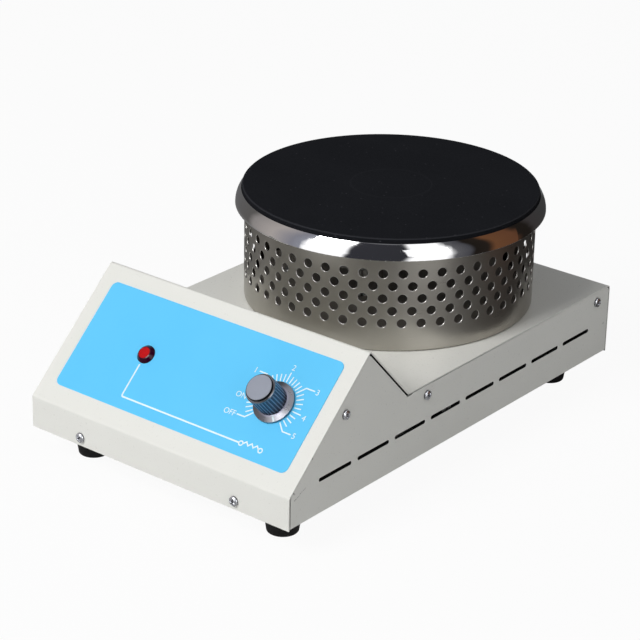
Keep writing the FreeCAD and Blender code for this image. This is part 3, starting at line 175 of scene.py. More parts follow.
class Tree:
    """Short way to add and join the nodes of one node tree."""

    def __init__(self, tree: NodeTree) -> None:
        """Keeps the tree that the nodes go into."""
        self.tree = tree

    def add(self, kind: str, inputs: dict | None = None, **settings: object) -> Node:
        """Adds a node.

        Args:
            kind: Type name of the node.
            inputs: Values or output sockets by input name or index.
            **settings: Attributes of the node.

        Returns:
            The new node.
        """
        node = self.tree.nodes.new(kind)
        for key, value in settings.items():
            setattr(node, key, value)
        for key, value in (inputs or {}).items():
            if isinstance(value, NodeSocket):
                self.tree.links.new(value, node.inputs[key])
            else:
                node.inputs[key].default_value = value
        return node

    def link(self, source: NodeSocket, target: NodeSocket) -> None:
        """Joins an output to an input."""
        self.tree.links.new(source, target)

    def group(self, shared: NodeTree, inputs: dict | None = None) -> Node:
        """Adds a shared group with values or sockets for its inputs."""
        return self.add("ShaderNodeGroup", inputs, node_tree=shared)

    def place(self) -> NodeSocket:
        """Adds the object coordinates."""
        return self.add("ShaderNodeTexCoord").outputs["Object"]

    def vector(self, operation: str, a: object, b: object = None) -> NodeSocket:
        """Adds a Vector Math node.

        Args:
            operation: Operation name.
            a: First vector or socket.
            b: Second vector or socket, where the operation has one.

        Returns:
            The output socket: a number for a distance, length or dot product, or else a vector.
        """
        inputs = {0: a} if b is None else {0: a, 1: b}
        node = self.add("ShaderNodeVectorMath", inputs, operation=operation)
        return node.outputs["Value" if operation in ("DISTANCE", "LENGTH", "DOT_PRODUCT") else "Vector"]

    def math(self, operation: str, a: object, b: object = 0.0, clamp: bool = False) -> NodeSocket:
        """Adds a Math node of two values or sockets, kept between 0 and 1 where clamp is set."""
        return self.add("ShaderNodeMath", {0: a, 1: b}, operation=operation, use_clamp=clamp).outputs[0]

    def mix(self, factor: object, a: object, b: object) -> NodeSocket:
        """Mixes two colours, each three numbers or a socket, with the given share of the second."""
        a, b = ((*colour, 1.0) if isinstance(colour, tuple) else colour for colour in (a, b))
        return self.add("ShaderNodeMix", {0: factor, 6: a, 7: b}, data_type="RGBA").outputs[2]

    def noise(self, vector: NodeSocket, scale: object, detail: float) -> NodeSocket:
        """Adds a Noise texture and returns its value."""
        inputs = {"Vector": vector, "Scale": scale, "Detail": detail}
        return self.add("ShaderNodeTexNoise", inputs).outputs[0]

    def remap(self, value: object, low: float, high: float, to_low: float = 0.0, to_high: float = 1.0
              ) -> NodeSocket:
        """Carries the range from low to high over to the range from to_low to to_high, clamped."""
        return self.add("ShaderNodeMapRange", {0: value, 1: low, 2: high, 3: to_low, 4: to_high}).outputs[0]

    def ramp(self, value: object, stops: Stops) -> NodeSocket:
        """Blends colours along a value.

        Args:
            value: Value or socket between 0 and 1.
            stops: Position and linear colour of each stop, in rising order.

        Returns:
            The colour socket.
        """
        node = self.add("ShaderNodeValToRGB", {0: value})
        line = node.color_ramp
        while len(line.elements) < len(stops):
            line.elements.new(1.0)
        for element, (position, colour) in zip(line.elements, stops):
            element.position = position
            element.color = (*colour, 1.0)
        return node.outputs[0]


class EffectGroups:
    """Node groups that several materials share, each built once."""

    def __init__(self) -> None:
        """Builds the groups."""
        self.grain = self._grain()
        self.streaks = self._streaks()
        self.rings = self._rings()
        self.scratch = self._scratch()
        self.dust = self._dust()

    @staticmethod
    def _new(name: str, inputs: dict[str, float | Triple], outputs: tuple[str, ...] = ("Height", "Patches")
             ) -> tuple[NodeTree, Tree, Node, Node]:
        """Starts a group.

        Args:
            name: Name of the group.
            inputs: Default by input name, one number or three.
            outputs: Names of its outputs, which are single numbers.

        Returns:
            The group, its tree helper, its input node and its output node.
        """
        group = bpy.data.node_groups.new(name, "ShaderNodeTree")
        for label, value in inputs.items():
            kind = "NodeSocketVector" if isinstance(value, tuple) else "NodeSocketFloat"
            group.interface.new_socket(label, in_out="INPUT", socket_type=kind).default_value = value
        for label in outputs:
            group.interface.new_socket(label, in_out="OUTPUT", socket_type="NodeSocketFloat")
        tree = Tree(group)
        return group, tree, tree.add("NodeGroupInput"), tree.add("NodeGroupOutput")

    def _grain(self) -> NodeTree:
        """Even grain: fine noise for relief and wide noise for patches.

        Returns:
            A group with Frequency and Patch Frequency in, and Height and Patches out.
        """
        group, tree, start, end = self._new("even grain", {"Frequency": 1500.0, "Patch Frequency": 22.0})
        place = tree.place()
        fine = tree.noise(place, start.outputs["Frequency"], 3.0)
        wide = tree.noise(place, start.outputs["Patch Frequency"], 4.0)
        tree.link(fine, end.inputs["Height"])
        tree.link(tree.remap(wide, 0.38, 0.66), end.inputs["Patches"])
        return group

    def _streaks(self) -> NodeTree:
        """Grain drawn out in one direction by an uneven scale of the coordinates.

        Returns:
            A group with Stretch and Patch Frequency in, and Height and Patches out.
        """
        group, tree, start, end = self._new(
            "streaked grain", {"Stretch": (60.0, 60.0, 3000.0), "Patch Frequency": 30.0})
        place = tree.place()
        drawn = tree.add("ShaderNodeMapping", {"Vector": place, "Scale": start.outputs["Stretch"]})
        fine = tree.noise(drawn.outputs[0], 1.0, 4.0)
        wide = tree.noise(place, start.outputs["Patch Frequency"], 3.0)
        tree.link(fine, end.inputs["Height"])
        tree.link(tree.remap(wide, 0.35, 0.68), end.inputs["Patches"])
        return group

    def _rings(self) -> NodeTree:
        """Fine rings round an axis through a point, turned to the panel's tilt.

        Returns:
            A group with Centre, Tilt and Frequency in, and Height and Patches out.
        """
        group, tree, start, end = self._new(
            "turned rings", {"Centre": ORIGIN, "Tilt": ORIGIN, "Frequency": 600.0})
        place = tree.place()
        local = tree.add("ShaderNodeMapping", {"Vector": place, "Location": start.outputs["Centre"],
                                               "Rotation": start.outputs["Tilt"]}, vector_type="TEXTURE")
        wave = tree.add("ShaderNodeTexWave", {"Vector": local.outputs[0], "Scale": start.outputs["Frequency"],
                                              "Distortion": 0.6, "Detail": 2.0},
                        wave_type="RINGS", rings_direction="Z")
        tree.link(wave.outputs["Fac"], end.inputs["Height"])
        tree.link(tree.noise(place, 160.0, 2.0), end.inputs["Patches"])
        return group

    def _scratch(self) -> NodeTree:
        """Straight scratch: nearness to the run between two points, broken up by noise.

        The nearest point of the run lies at the share t of it, with t the dot product of the way to the
        place and the run over the run's squared length, kept between 0 and 1.

        Returns:
            A group with Start, End and Width in, and Mask out.
        """
        group, tree, start, end = self._new(
            "scratch", {"Start": ORIGIN, "End": (0.01, 0.0, 0.0), "Width": 0.0003}, ("Mask",))
        place = tree.place()
        run = tree.vector("SUBTRACT", start.outputs["End"], start.outputs["Start"])
        way = tree.vector("SUBTRACT", place, start.outputs["Start"])
        along, square = tree.vector("DOT_PRODUCT", way, run), tree.vector("DOT_PRODUCT", run, run)
        share = tree.math("DIVIDE", along, square, clamp=True)
        foot = tree.add("ShaderNodeVectorMath", {0: run, "Scale": share}, operation="SCALE").outputs[0]
        away = tree.vector("DISTANCE", way, foot)
        near = tree.math("SUBTRACT", 1.5, tree.math("DIVIDE", away, start.outputs["Width"]), clamp=True)
        broken = tree.remap(tree.noise(place, 1800.0, 3.0), 0.4, 0.55)
        tree.link(tree.math("MULTIPLY", near, broken), end.inputs["Mask"])
        return group

    def _dust(self) -> NodeTree:
        """Rare small specks: a few cells of a cell pattern, each near its own point only.

        Returns:
            A group with Frequency, Size and Share in, and Mask out.
        """
        group, tree, start, end = self._new(
            "rare specks", {"Frequency": 500.0, "Size": 0.2, "Share": 0.07}, ("Mask",))
        place = tree.place()
        cells = tree.add("ShaderNodeTexVoronoi", {"Vector": place, "Scale": start.outputs["Frequency"]})
        pick = tree.add("ShaderNodeSeparateColor", {0: cells.outputs["Color"]}).outputs[0]
        chosen = tree.math("LESS_THAN", pick, start.outputs["Share"])
        near = tree.math("LESS_THAN", cells.outputs["Distance"], start.outputs["Size"])
        tree.link(tree.math("MULTIPLY", near, chosen), end.inputs["Mask"])
        return group


@dataclass(frozen=True)
class PanelPlane:
    """Sloping control panel, with x across, s up the slope and h outwards, all from the dial's centre.

    Attributes:
        centre: Centre of the dial on the panel sheet.
        normal: Unit vector out of the panel.
    """

    centre: Triple
    normal: Triple

    @classmethod
    def from_joint(cls, joint: dict) -> "PanelPlane":
        """Reads the plane from the knob's joint."""
        return cls(tuple(joint["pos_m"]), tuple(joint["axis"]))

    @property
    def tilt(self) -> float:
        """Angle between the panel and the bench, in radians."""
        return math.atan2(-self.normal[1], self.normal[2])

    def place(self, points: np.ndarray) -> np.ndarray:
        """Carries panel coordinates to the part's frame: centre plus x across, s uphill and h outwards.

        Args:
            points: Rows of x, s and h, in metres.

        Returns:
            Rows of X, Y and Z.
        """
        across = np.array([1.0, 0.0, 0.0])
        outward = np.array(self.normal) / np.linalg.norm(self.normal)
        uphill = np.cross(outward, across)
        return np.array(self.centre) + points @ np.stack([across, uphill, outward])


@dataclass(frozen=True)
class Surface:
    """Vertices and faces of one piece."""

    points: np.ndarray
    faces: list[tuple[int, ...]]


def all_joined(parts: list[Surface]) -> Surface:
    """Joins surfaces into one, with the vertex numbers of each moved on by the vertices before it.

    Args:
        parts: Surfaces, at least one.

    Returns:
        The joined surface.
    """
    starts = np.cumsum([0] + [len(part.points) for part in parts[:-1]]).tolist()
    faces = [tuple(i + start for i in face) for part, start in zip(parts, starts) for face in part.faces]
    return Surface(np.vstack([part.points for part in parts]), faces)


def read_rows(collection: bpy.types.bpy_prop_collection, name: str) -> np.ndarray:
    """Reads one vector property of all vertices or faces.

    Args:
        collection: Vertices or faces of a mesh.
        name: Name of the property.

    Returns:
        Rows of three numbers.
    """
    flat = np.empty(len(collection) * 3)
    collection.foreach_get(name, flat)
    return flat.reshape(-1, 3)


def full_turn(count: int) -> np.ndarray:
    """Even angles once round, in radians."""
    return np.arange(count) * 2 * np.pi / count


def ring_faces(rings: int, around: int, closed_path: bool = False) -> list[tuple[int, ...]]:
    """Quads of a tube-like grid whose vertices run round each ring first.

    Args:
        rings: Number of rings along the path.
        around: Number of vertices in a ring.
        closed_path: Whether the last ring meets the first.

    Returns:
        Faces as tuples of vertex numbers.
    """
    ring = np.arange(rings if closed_path else rings - 1)[:, None]
    step = np.arange(around)[None, :]
    here, ahead, right = ring * around, (ring + 1) % rings * around, (step + 1) % around
    quads = np.stack([here + step, here + right, ahead + right, ahead + step], axis=-1)
    return [tuple(quad) for quad in quads.reshape(-1, 4).tolist()]


def carried_strip(path: np.ndarray, outward: np.ndarray, width: float, thickness: float,
                  closed: bool = False) -> Surface:
    """Flat strip of even width along a path, as a four-cornered profile carried along it.

    At each point the profile's side direction is the sum of the side directions of the two runs that
    meet there, divided by one plus their dot product, so that the strip keeps its width at a corner.
    The corners lie half the width to each side, on the path and one thickness above it.

    Args:
        path: Points of the middle line.
        outward: Direction of the strip's upper face, one for all points or one each.
        width: Width of the strip.
        thickness: Height of the strip.
        closed: Whether the path closes on itself.

    Returns:
        The strip with its end faces.
    """
    up = np.broadcast_to(outward, path.shape)
    runs = np.roll(path, -1, axis=0) - path
    if not closed:
        runs[-1] = runs[-2]
    sides = np.cross(runs, up)
    sides /= np.linalg.norm(sides, axis=1, keepdims=True)
    before = np.roll(sides, 1, axis=0)
    if not closed:
        before[0] = sides[0]
    mitre = (sides + before) / (1.0 + np.sum(sides * before, axis=1, keepdims=True))
    half, lift = mitre * width / 2, up * thickness
    rings = np.stack([path - half, path + half, path + half + lift, path - half + lift], axis=1)
    faces = ring_faces(len(path), 4, closed)
    if not closed:
        last = 4 * (len(path) - 1)
        faces += [(3, 2, 1, 0), (last, last + 1, last + 2, last + 3)]
    return Surface(rings.reshape(-1, 3), faces)


def put(name: str, data: ID) -> Object:
    """Makes an object and links it into the scene.

    Args:
        name: Name of the object.
        data: Its mesh, curve, lamp or camera.

    Returns:
        The new object.
    """
    thing = bpy.data.objects.new(name, data)
    bpy.context.scene.collection.objects.link(thing)
    return thing


def add_piece(name: str, surface: Surface, body: Body, material: Material,
              smooth: bool = False) -> Object:
    """Makes an object from a surface, lets it ride on its body and reports it.

    Args:
        name: Name of the piece.
        surface: Its vertices and faces, in the part's frame.
        body: Body that it moves with.
        material: Material of the piece.
        smooth: Whether its faces are shaded smooth.

    Returns:
        The new object.
    """
    mesh = bpy.data.meshes.new(name)
    mesh.from_pydata(surface.points.tolist(), [], surface.faces)
    mesh.validate()
    mesh.polygons.foreach_set("use_smooth", np.full(len(mesh.polygons), smooth))
    mesh.materials.append(material)
    mesh.update()
    piece = put(name, mesh)
    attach(piece, body.value)
    LOG.info("%s: %d faces on %s", name, len(mesh.polygons), body.value)
    return piece


@dataclass
class FinishShop:
    """Builds one material for each material slot of the record. Lengths are in millimetres.

    Attributes:
        panel: Plane of the control panel, for the knob and the lens.
        brushed_length: How many times longer than wide a streak of brushed metal is.
        woven_length: The same for the threads of a weave.
        wall_scratches: Ends of the right wall's scratches as rearward place and height, and their width.
        plate_ring_pitch: Pitch of the plate's turned rings.
        plate_circle: Radius of the circle round the plate's middle.
        plate_circle_edge: Distances from that circle between which its line fades.
        plate_highlight_reach: Distances from the middle between which the painted highlight on the bevel begins.
        plate_highlight_drop: Depths below the top between which that painted highlight ends.
        flank_foot: Heights above the panel sheet between which the knob's skirt becomes its flank.
        flank_top: Heights between which the flank becomes the knob's top edge.
        flute_floor: Distances from the knob's axis between which a flute becomes the flank.
        lens_rise: Height of the lens's top above its middle.
        lens_lit_core: Distances from the lens's top between which the painted bright core ends.
    """

    panel: PanelPlane
    brushed_length: float = 40.0
    woven_length: float = 6.0
    wall_scratches: tuple[tuple[Pair, Pair, float], ...] = (
        ((-152.4, 39.9), (-151.4, 38.9), 0.45), ((-151.8, 35.0), (-147.5, 36.6), 0.26),
        ((-147.0, 37.4), (-142.0, 39.2), 0.26), ((-137.2, 54.3), (-136.5, 54.9), 0.4),
        ((150.8, 38.4), (151.2, 38.6), 0.5))
    plate_ring_pitch: float = 2.6
    plate_circle: float = 24.6
    plate_circle_edge: Pair = (0.2, 0.7)
    plate_highlight_reach: Pair = (89.2, 89.5)
    plate_highlight_drop: Pair = (0.6, 0.8)
    flank_foot: Pair = (3.0, 3.4)
    flank_top: Pair = (16.8, 17.2)
    flute_floor: Pair = (8.86, 8.96)
    lens_rise: float = 1.3
    lens_lit_core: Pair = (3.3, 3.9)

    def __post_init__(self) -> None:
        """Builds the shared groups."""
        self.groups = EffectGroups()

    @staticmethod
    def _start(name: str) -> tuple[Material, Tree, Node]:
        """Starts a material.

        Args:
            name: Name of the material.

        Returns:
            The material, its tree helper and its Principled shader.
        """
        material = bpy.data.materials.new(name)
        material.use_nodes = True
        return material, Tree(material.node_tree), material.node_tree.nodes["Principled BSDF"]

    @staticmethod
    def _fade(tree: Tree, value: NodeSocket, ends: Pair, rising: bool = True) -> NodeSocket:
        """Blends from 0 to 1 between two lengths, or from 1 to 0 where it isn't rising."""
        low, high = (0.0, 1.0) if rising else (1.0, 0.0)
        return tree.remap(value, ends[0] * MM, ends[1] * MM, low, high)

    @staticmethod
    def _drift(tree: Tree, structure: Node, share: float, a: Triple, b: Triple) -> NodeSocket:
        """Colour that moves from a towards b in the patches of a structure, by the share at most."""
        return tree.mix(tree.math("MULTIPLY", structure.outputs["Patches"], share), a, b)

    @staticmethod
    def _dress(tree: Tree, shader: Node, colour: NodeSocket, rough: NodeSocket, height: NodeSocket,
               bump: float, depth: float = 0.05, metallic: float = 0.0, specular: float = 0.5) -> None:
        """Gives the shader its colour, roughness, relief and two constants.

        Args:
            tree: Tree of the material.
            shader: Its main shader.
            colour: Colour of the surface.
            rough: Its roughness.
            height: Height between 0 and 1.
            bump: Strength of the relief.
            depth: Depth that a height of 1 stands for.
            metallic: 1 for bare metal.
            specular: Strength of the clear reflection; 0.5 is usual.
        """
        shader.inputs["Metallic"].default_value = metallic
        shader.inputs["Specular IOR Level"].default_value = specular
        tree.link(colour, shader.inputs["Base Color"])
        tree.link(rough, shader.inputs["Roughness"])
        relief = tree.add("ShaderNodeBump", {"Height": height, "Strength": bump, "Distance": depth * MM})
        tree.link(relief.outputs[0], shader.inputs["Normal"])

    def _structure(self, tree: Tree, finish: Finish) -> Node:
        """Adds the group that gives a finish its fine structure.

        Args:
            tree: Tree of the material.
            finish: Finish whose pattern is wanted.

        Returns:
            The group node, with Height and Patches.
        """
        fine = 1.0 / (finish.pitch_mm * MM)
        if finish.pattern is Pattern.BRUSHED:
            round_axis = fine / self.brushed_length
            return tree.group(self.groups.streaks, {"Stretch": (round_axis, round_axis, fine)})
        if finish.pattern is Pattern.WOVEN:
            return tree.group(self.groups.streaks, {"Stretch": (fine, fine / self.woven_length, fine)})
        if finish.pattern is Pattern.TURNED:
            tilt = (self.panel.tilt, 0.0, 0.0)
            return tree.group(self.groups.rings, {"Centre": self.panel.centre, "Tilt": tilt,
                                                  "Frequency": fine * RING_WAVE})
        return tree.group(self.groups.grain, {"Frequency": fine})

    def plain(self, name: str, finish: Finish) -> Material:
        """Material with drifting colour, uneven roughness and fine relief.

        Args:
            name: Name of the material.
            finish: Its numbers.

        Returns:
            The material.
        """
        material, tree, shader = self._start(name)
        structure = self._structure(tree, finish)
        height = structure.outputs["Height"]
        colour = self._drift(tree, structure, finish.drift_amount, finish.colour, finish.drift)
        rough = tree.remap(height, 0.25, 0.75, finish.rough - finish.rough_spread,
                           finish.rough + finish.rough_spread)
        self._dress(tree, shader, colour, rough, height, finish.bump, metallic=finish.metallic,
                    specular=finish.specular)
        return material

    def powder_coat(self) -> Material:
        """Off-white powder coat with rare dust specks, and thin scratches and nicks on the right wall.

        Returns:
            The material.
        """
        material, tree, shader = self._start("housing_paint")
        grain = tree.group(self.groups.grain, {"Frequency": 700.0, "Patch Frequency": 14.0})
        height = grain.outputs["Height"]
        clean = self._drift(tree, grain, 0.3, (0.815, 0.815, 0.77), (0.795, 0.795, 0.745))
        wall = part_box("base_tray")[1][0]
        marks = 0.0
        for (y0, z0), (y1, z1), width in self.wall_scratches:
            ends = {"Start": (wall, y0 * MM, z0 * MM), "End": (wall, y1 * MM, z1 * MM), "Width": width * MM}
            marks = tree.math("MAXIMUM", tree.group(self.groups.scratch, ends).outputs["Mask"], marks)
        marked = tree.mix(tree.math("MULTIPLY", marks, 0.75), clean, (0.13, 0.125, 0.11))
        dust = tree.group(self.groups.dust, {"Frequency": 90.0, "Size": 0.03, "Share": 0.06})
        colour = tree.mix(tree.math("MULTIPLY", dust.outputs["Mask"], 0.5), marked, (0.93, 0.93, 0.9))
        rough = tree.math("ADD", tree.remap(height, 0.3, 0.7, 0.27, 0.33), tree.math("MULTIPLY", marks, 0.3))
        self._dress(tree, shader, colour, rough, height, 0.03, 0.02)
        return material

    def printed_film(self) -> Material:
        """Light blue printed film with a fine matt grain.

        Returns:
            The material.
        """
        material, tree, shader = self._start("overlay_blue")
        grain = tree.group(self.groups.grain, {"Frequency": 2600.0, "Patch Frequency": 18.0})
        height = grain.outputs["Height"]
        colour = self._drift(tree, grain, 0.5, (0.112, 0.585, 0.97), (0.128, 0.605, 0.975))
        rough = tree.remap(height, 0.3, 0.7, 0.44, 0.56)
        self._dress(tree, shader, colour, rough, height, 0.06, 0.02, specular=0.3)
        return material

    def cast_face(self) -> Material:
        """Black cast plate with fine pits, faint turned rings, a circle round the middle, pale specks and a
        painted highlight on the bevel.

        Returns:
            The material.
        """
        material, tree, shader = self._start("plate_iron")
        grain = tree.group(self.groups.grain, {"Frequency": 1700.0, "Patch Frequency": 26.0})
        dust = tree.group(self.groups.dust, {"Frequency": 420.0, "Size": 0.2, "Share": 0.05})
        low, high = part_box("cast_plate")
        middle = ((low[0] + high[0]) / 2, (low[1] + high[1]) / 2, high[2])
        turned = tree.group(self.groups.rings,
                            {"Centre": middle, "Frequency": RING_WAVE / (self.plate_ring_pitch * MM)})
        place = tree.place()
        away = tree.vector("DISTANCE", place, middle)
        depth = tree.math("SUBTRACT", middle[2], tree.add("ShaderNodeSeparateXYZ", {0: place}).outputs[2])
        # Painted highlight: a lighter band on the bevel just below the top, near the plate's edge
        rim = tree.math("MULTIPLY", self._fade(tree, depth, self.plate_highlight_drop, rising=False),
                        self._fade(tree, away, self.plate_highlight_reach))
        off_line = tree.math("ABSOLUTE", tree.math("SUBTRACT", away, self.plate_circle * MM))
        line = self._fade(tree, off_line, self.plate_circle_edge, rising=False)
        body = self._drift(tree, grain, 0.6, (0.0075, 0.0082, 0.0105), (0.01, 0.0108, 0.0135))
        marked = tree.mix(tree.math("MAXIMUM", tree.math("MULTIPLY", line, 0.3), rim), body,
                          (0.024, 0.025, 0.029))
        colour = tree.mix(tree.math("MULTIPLY", dust.outputs["Mask"], 0.5), marked, (0.07, 0.07, 0.08))
        pits = grain.outputs["Height"]
        height = tree.math("ADD", tree.math("MULTIPLY", turned.outputs["Height"], 0.15), pits)
        rough = tree.remap(pits, 0.3, 0.7, 0.66, 0.84)
        self._dress(tree, shader, colour, rough, height, 0.3, 0.06, specular=0.06)
        return material

    def fluted_metal(self) -> Material:
        """Metallised knob: grey skirt and top edge, a painted blue reflection on the flank and painted shade in
        its flutes.

        Returns:
            The material.
        """
        material, tree, shader = self._start("knob_metal")
        away = tree.vector("SUBTRACT", tree.place(), self.panel.centre)
        level = tree.vector("DOT_PRODUCT", away, self.panel.normal)
        radius = tree.vector("LENGTH", tree.vector("CROSS_PRODUCT", away, self.panel.normal))
        flank = tree.math("MULTIPLY", self._fade(tree, level, self.flank_foot),
                          self._fade(tree, level, self.flank_top, rising=False))
        # Painted shade: the floors of the flutes are darkened
        flute = tree.math("MULTIPLY", flank, self._fade(tree, radius, self.flute_floor, rising=False))
        grain = tree.group(self.groups.grain, {"Frequency": 900.0})
        height = grain.outputs["Height"]
        bright = self._drift(tree, grain, 0.4, (0.25, 0.25, 0.275), (0.21, 0.21, 0.235))
        # The flank's blue tint is a painted reflection of the blue panel, and the flutes get painted shade
        colour = tree.mix(flute, tree.mix(flank, bright, (0.3, 0.3, 0.37)), (0.11, 0.11, 0.14))
        rough = tree.math("ADD", tree.remap(height, 0.3, 0.7, 0.27, 0.3), tree.math("MULTIPLY", flank, 0.12))
        self._dress(tree, shader, colour, rough, height, 0.01, metallic=1.0)
        return material

    def lamp_red(self) -> Material:
        """Red translucent lens: a flat top painted bright and faintly glowing as light, sloping sides nearly black
        as painted shade.

        Returns:
            The material.
        """
        material, tree, shader = self._start("lens_red")
        low, high = np.array(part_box("lamp_lens"))
        top = (low + high) / 2 + np.array(self.panel.normal) * self.lens_rise * MM
        away = tree.vector("DISTANCE", tree.place(), tuple(top))
        # Painted light and shade: a bright, glowing top and nearly black sides on the same lens
        core = self._fade(tree, away, self.lens_lit_core, rising=False)
        height = tree.group(self.groups.grain, {"Frequency": 900.0}).outputs["Height"]
        mottled = tree.math("MULTIPLY", core, tree.remap(height, 0.2, 0.8, 0.85, 1.05))
        glow = tree.mix(mottled, ORIGIN, (0.12, 0.001, 0.001))
        tree.link(glow, shader.inputs["Emission Color"])
        shader.inputs["Emission Strength"].default_value = 1.0
        colour = tree.mix(mottled, (0.03, 0.0004, 0.012), (0.42, 0.004, 0.006))
        rough = tree.remap(height, 0.3, 0.7, 0.08, 0.16)
        self._dress(tree, shader, colour, rough, height, 0.04, specular=0.22)
        return material

    def library(self, slots: list[str]) -> dict[str, Material]:
        """Builds the material of each slot.

        Args:
            slots: Names of the record's material slots.

        Returns:
            Materials by slot.
        """
        special = {"housing_paint": self.powder_coat, "overlay_blue": self.printed_film,
                   "plate_iron": self.cast_face, "lens_red": self.lamp_red, "knob_metal": self.fluted_metal}
        made: dict[str, Material] = {}
        for slot in slots:
            made[slot] = special[slot]() if slot in special else self.plain(slot, FINISHES[slot])
            LOG.info("finish %s", slot)
        return made


@dataclass
class PrintedPanel:
    """White print on the panel: dial scale, its words and the line from the lamp to the heater symbol.

    Lengths are in millimetres from the dial's centre, angles in degrees from the panel's right.
    """

    panel: PanelPlane
    ink: Material
    level: float = 0.42
    ink_depth: float = 0.04
    tick_inner: float = 13.3
    tick_short: float = 17.8
    tick_long: float = 19.5
    tick_width: float = 0.7
    line_width: float = 0.98
    dot_width: float = 0.735
    wave_width: float = 0.784
    leader_width: float = 0.76
    letter_height: float = 3.4
    letter_steps: int = 3
    long_angles: tuple[float, ...] = (187.0, 90.0, -4.0)
    short_angles: tuple[float, ...] = (
        216.0, 206.0, 197.0, 126.0, 117.0, 107.5, 98.5, 80.5, 71.5, 62.5, 53.5, 35.5, 25.5, 15.5, 5.8, -14.0,
        -24.0, -34.0)
    leaders: tuple[Triple, ...] = (
        (225.0, 18.8, -18.9), (135.0, 19.9, -19.5), (45.0, 19.9, 20.1), (-44.0, 19.4, 19.7))
    words: tuple[tuple[str, float, float], ...] = (
        ("OFF", -23.9, -13.4), ("ON", -22.6, -2.2), ("1", -22.2, 14.2), ("2", 0.1, 22.6), ("3", 22.1, 14.0),
        ("4", 22.1, -2.3), ("5", 22.0, -13.6))
    lamp_x: float = -96.4
    lamp_low: float = -6.6
    line_s: float = -27.9
    corner_radius: float = 1.2
    corner_points: int = 7
    left_dot: float = -6.7
    right_dot: float = 7.2
    dot_radius: float = 1.3
    dot_step: float = 15.0
    wave_height: float = 1.9
    wave_peaks: int = 3

    def _flat(self, points: np.ndarray) -> np.ndarray:
        """Turns rows of x and s in millimetres into rows of x, s and the print's height in metres."""
        return np.hstack([points, np.full((len(points), 1), self.level)]) * MM

    def _strip(self, points: list[Pair] | np.ndarray, width: float, closed: bool = False) -> Surface:
        """Strip of ink of the given width along points of x and s, in the part's frame."""
        path = self.panel.place(self._flat(np.array(points, dtype=float)))
        return carried_strip(path, np.array(self.panel.normal), width * MM, self.ink_depth * MM, closed)

    def _spoke(self, angle: float, outer: float) -> list[Pair]:
        """Inner and outer point of a tick, from its angle in degrees and its outer radius."""
        turn = math.radians(angle)
        return [(radius * math.cos(turn), radius * math.sin(turn)) for radius in (self.tick_inner, outer)]

    @staticmethod
    def _arc(x: float, s: float, radius: float, degrees: np.ndarray) -> np.ndarray:
        """Points at the given angles on a circle round x and s, by cosine and sine."""
        turn = np.radians(degrees)
        return np.stack([x + radius * np.cos(turn), s + radius * np.sin(turn)], axis=1)

    def scale(self) -> Surface:
        """Ticks of the dial, with level leaders to the words at the corners.

        Returns:
            All ticks as one surface.
        """
        ticks = [(angle, self.tick_long) for angle in self.long_angles]
        ticks += [(angle, self.tick_short) for angle in self.short_angles]
        parts = [self._strip(self._spoke(*tick), self.tick_width) for tick in ticks]
        for angle, bend, end in self.leaders:
            inner, corner = self._spoke(angle, bend)
            parts.append(self._strip([inner, corner, (end, corner[1])], self.leader_width))
        return all_joined(parts)

    def circuit(self) -> Surface:
        """Line from the lamp down and along the panel, with two dots and the heater's zigzag between them.

        The rounded corner is a quarter circle. The zigzag is straight runs between even steps at two
        heights.

        Returns:
            The line as one surface.
        """
        bend = self._arc(self.lamp_x + self.corner_radius, self.line_s + self.corner_radius,
                         self.corner_radius, np.linspace(180.0, 270.0, self.corner_points))
        start, end = (self.lamp_x, self.lamp_low), (self.left_dot - self.dot_radius, self.line_s)
        parts = [self._strip(np.vstack([start, bend, end]), self.line_width)]
        for middle in (self.left_dot, self.right_dot):
            loop = self._arc(middle, self.line_s, self.dot_radius, np.arange(0.0, 360.0, self.dot_step))
            parts.append(self._strip(loop, self.dot_width, closed=True))
        steps = 2 * self.wave_peaks + 1
        x = np.linspace(self.left_dot + self.dot_radius, self.right_dot - self.dot_radius, steps)
        rise = np.where(np.arange(steps) % 2 == 1, self.wave_height, 0.0)
        parts.append(self._strip(np.stack([x, self.line_s + rise], axis=1), self.wave_width))
        return all_joined(parts)

    def _word(self, text: str, x: float, s: float) -> Surface:
        """Letters of one word, centred on a point of the panel.

        Args:
            text: The word.
            x: Middle across, in millimetres.
            s: Middle up the slope, in millimetres.

        Returns:
            The letters in the part's frame.
        """
        curve = bpy.data.curves.new(f"word_{text}", "FONT")
        curve.body = text
        curve.resolution_u = self.letter_steps
        holder = put(f"word_{text}", curve)
        bpy.context.view_layer.update()
        mesh = bpy.data.meshes.new_from_object(holder.evaluated_get(bpy.context.evaluated_depsgraph_get()))
        flat = read_rows(mesh.vertices, "co")
        low, high = flat.min(axis=0), flat.max(axis=0)
        size = self.letter_height / (high[1] - low[1])
        points = (flat[:, :2] - (low[:2] + high[:2]) / 2) * size + np.array([x, s])
        faces = [tuple(face.vertices) for face in mesh.polygons]
        bpy.data.objects.remove(holder)
        bpy.data.meshes.remove(mesh)
        lifted = self._flat(points) + np.array([0.0, 0.0, self.ink_depth * MM])
        return Surface(self.panel.place(lifted), faces)

    def build(self) -> None:
        """Makes the three printed pieces."""
        add_piece("dial_scale", self.scale(), Body.BASE, self.ink)
        add_piece("heater_line", self.circuit(), Body.BASE, self.ink)
        letters = all_joined([self._word(*word) for word in self.words])
        add_piece("dial_words", letters, Body.BASE, self.ink)


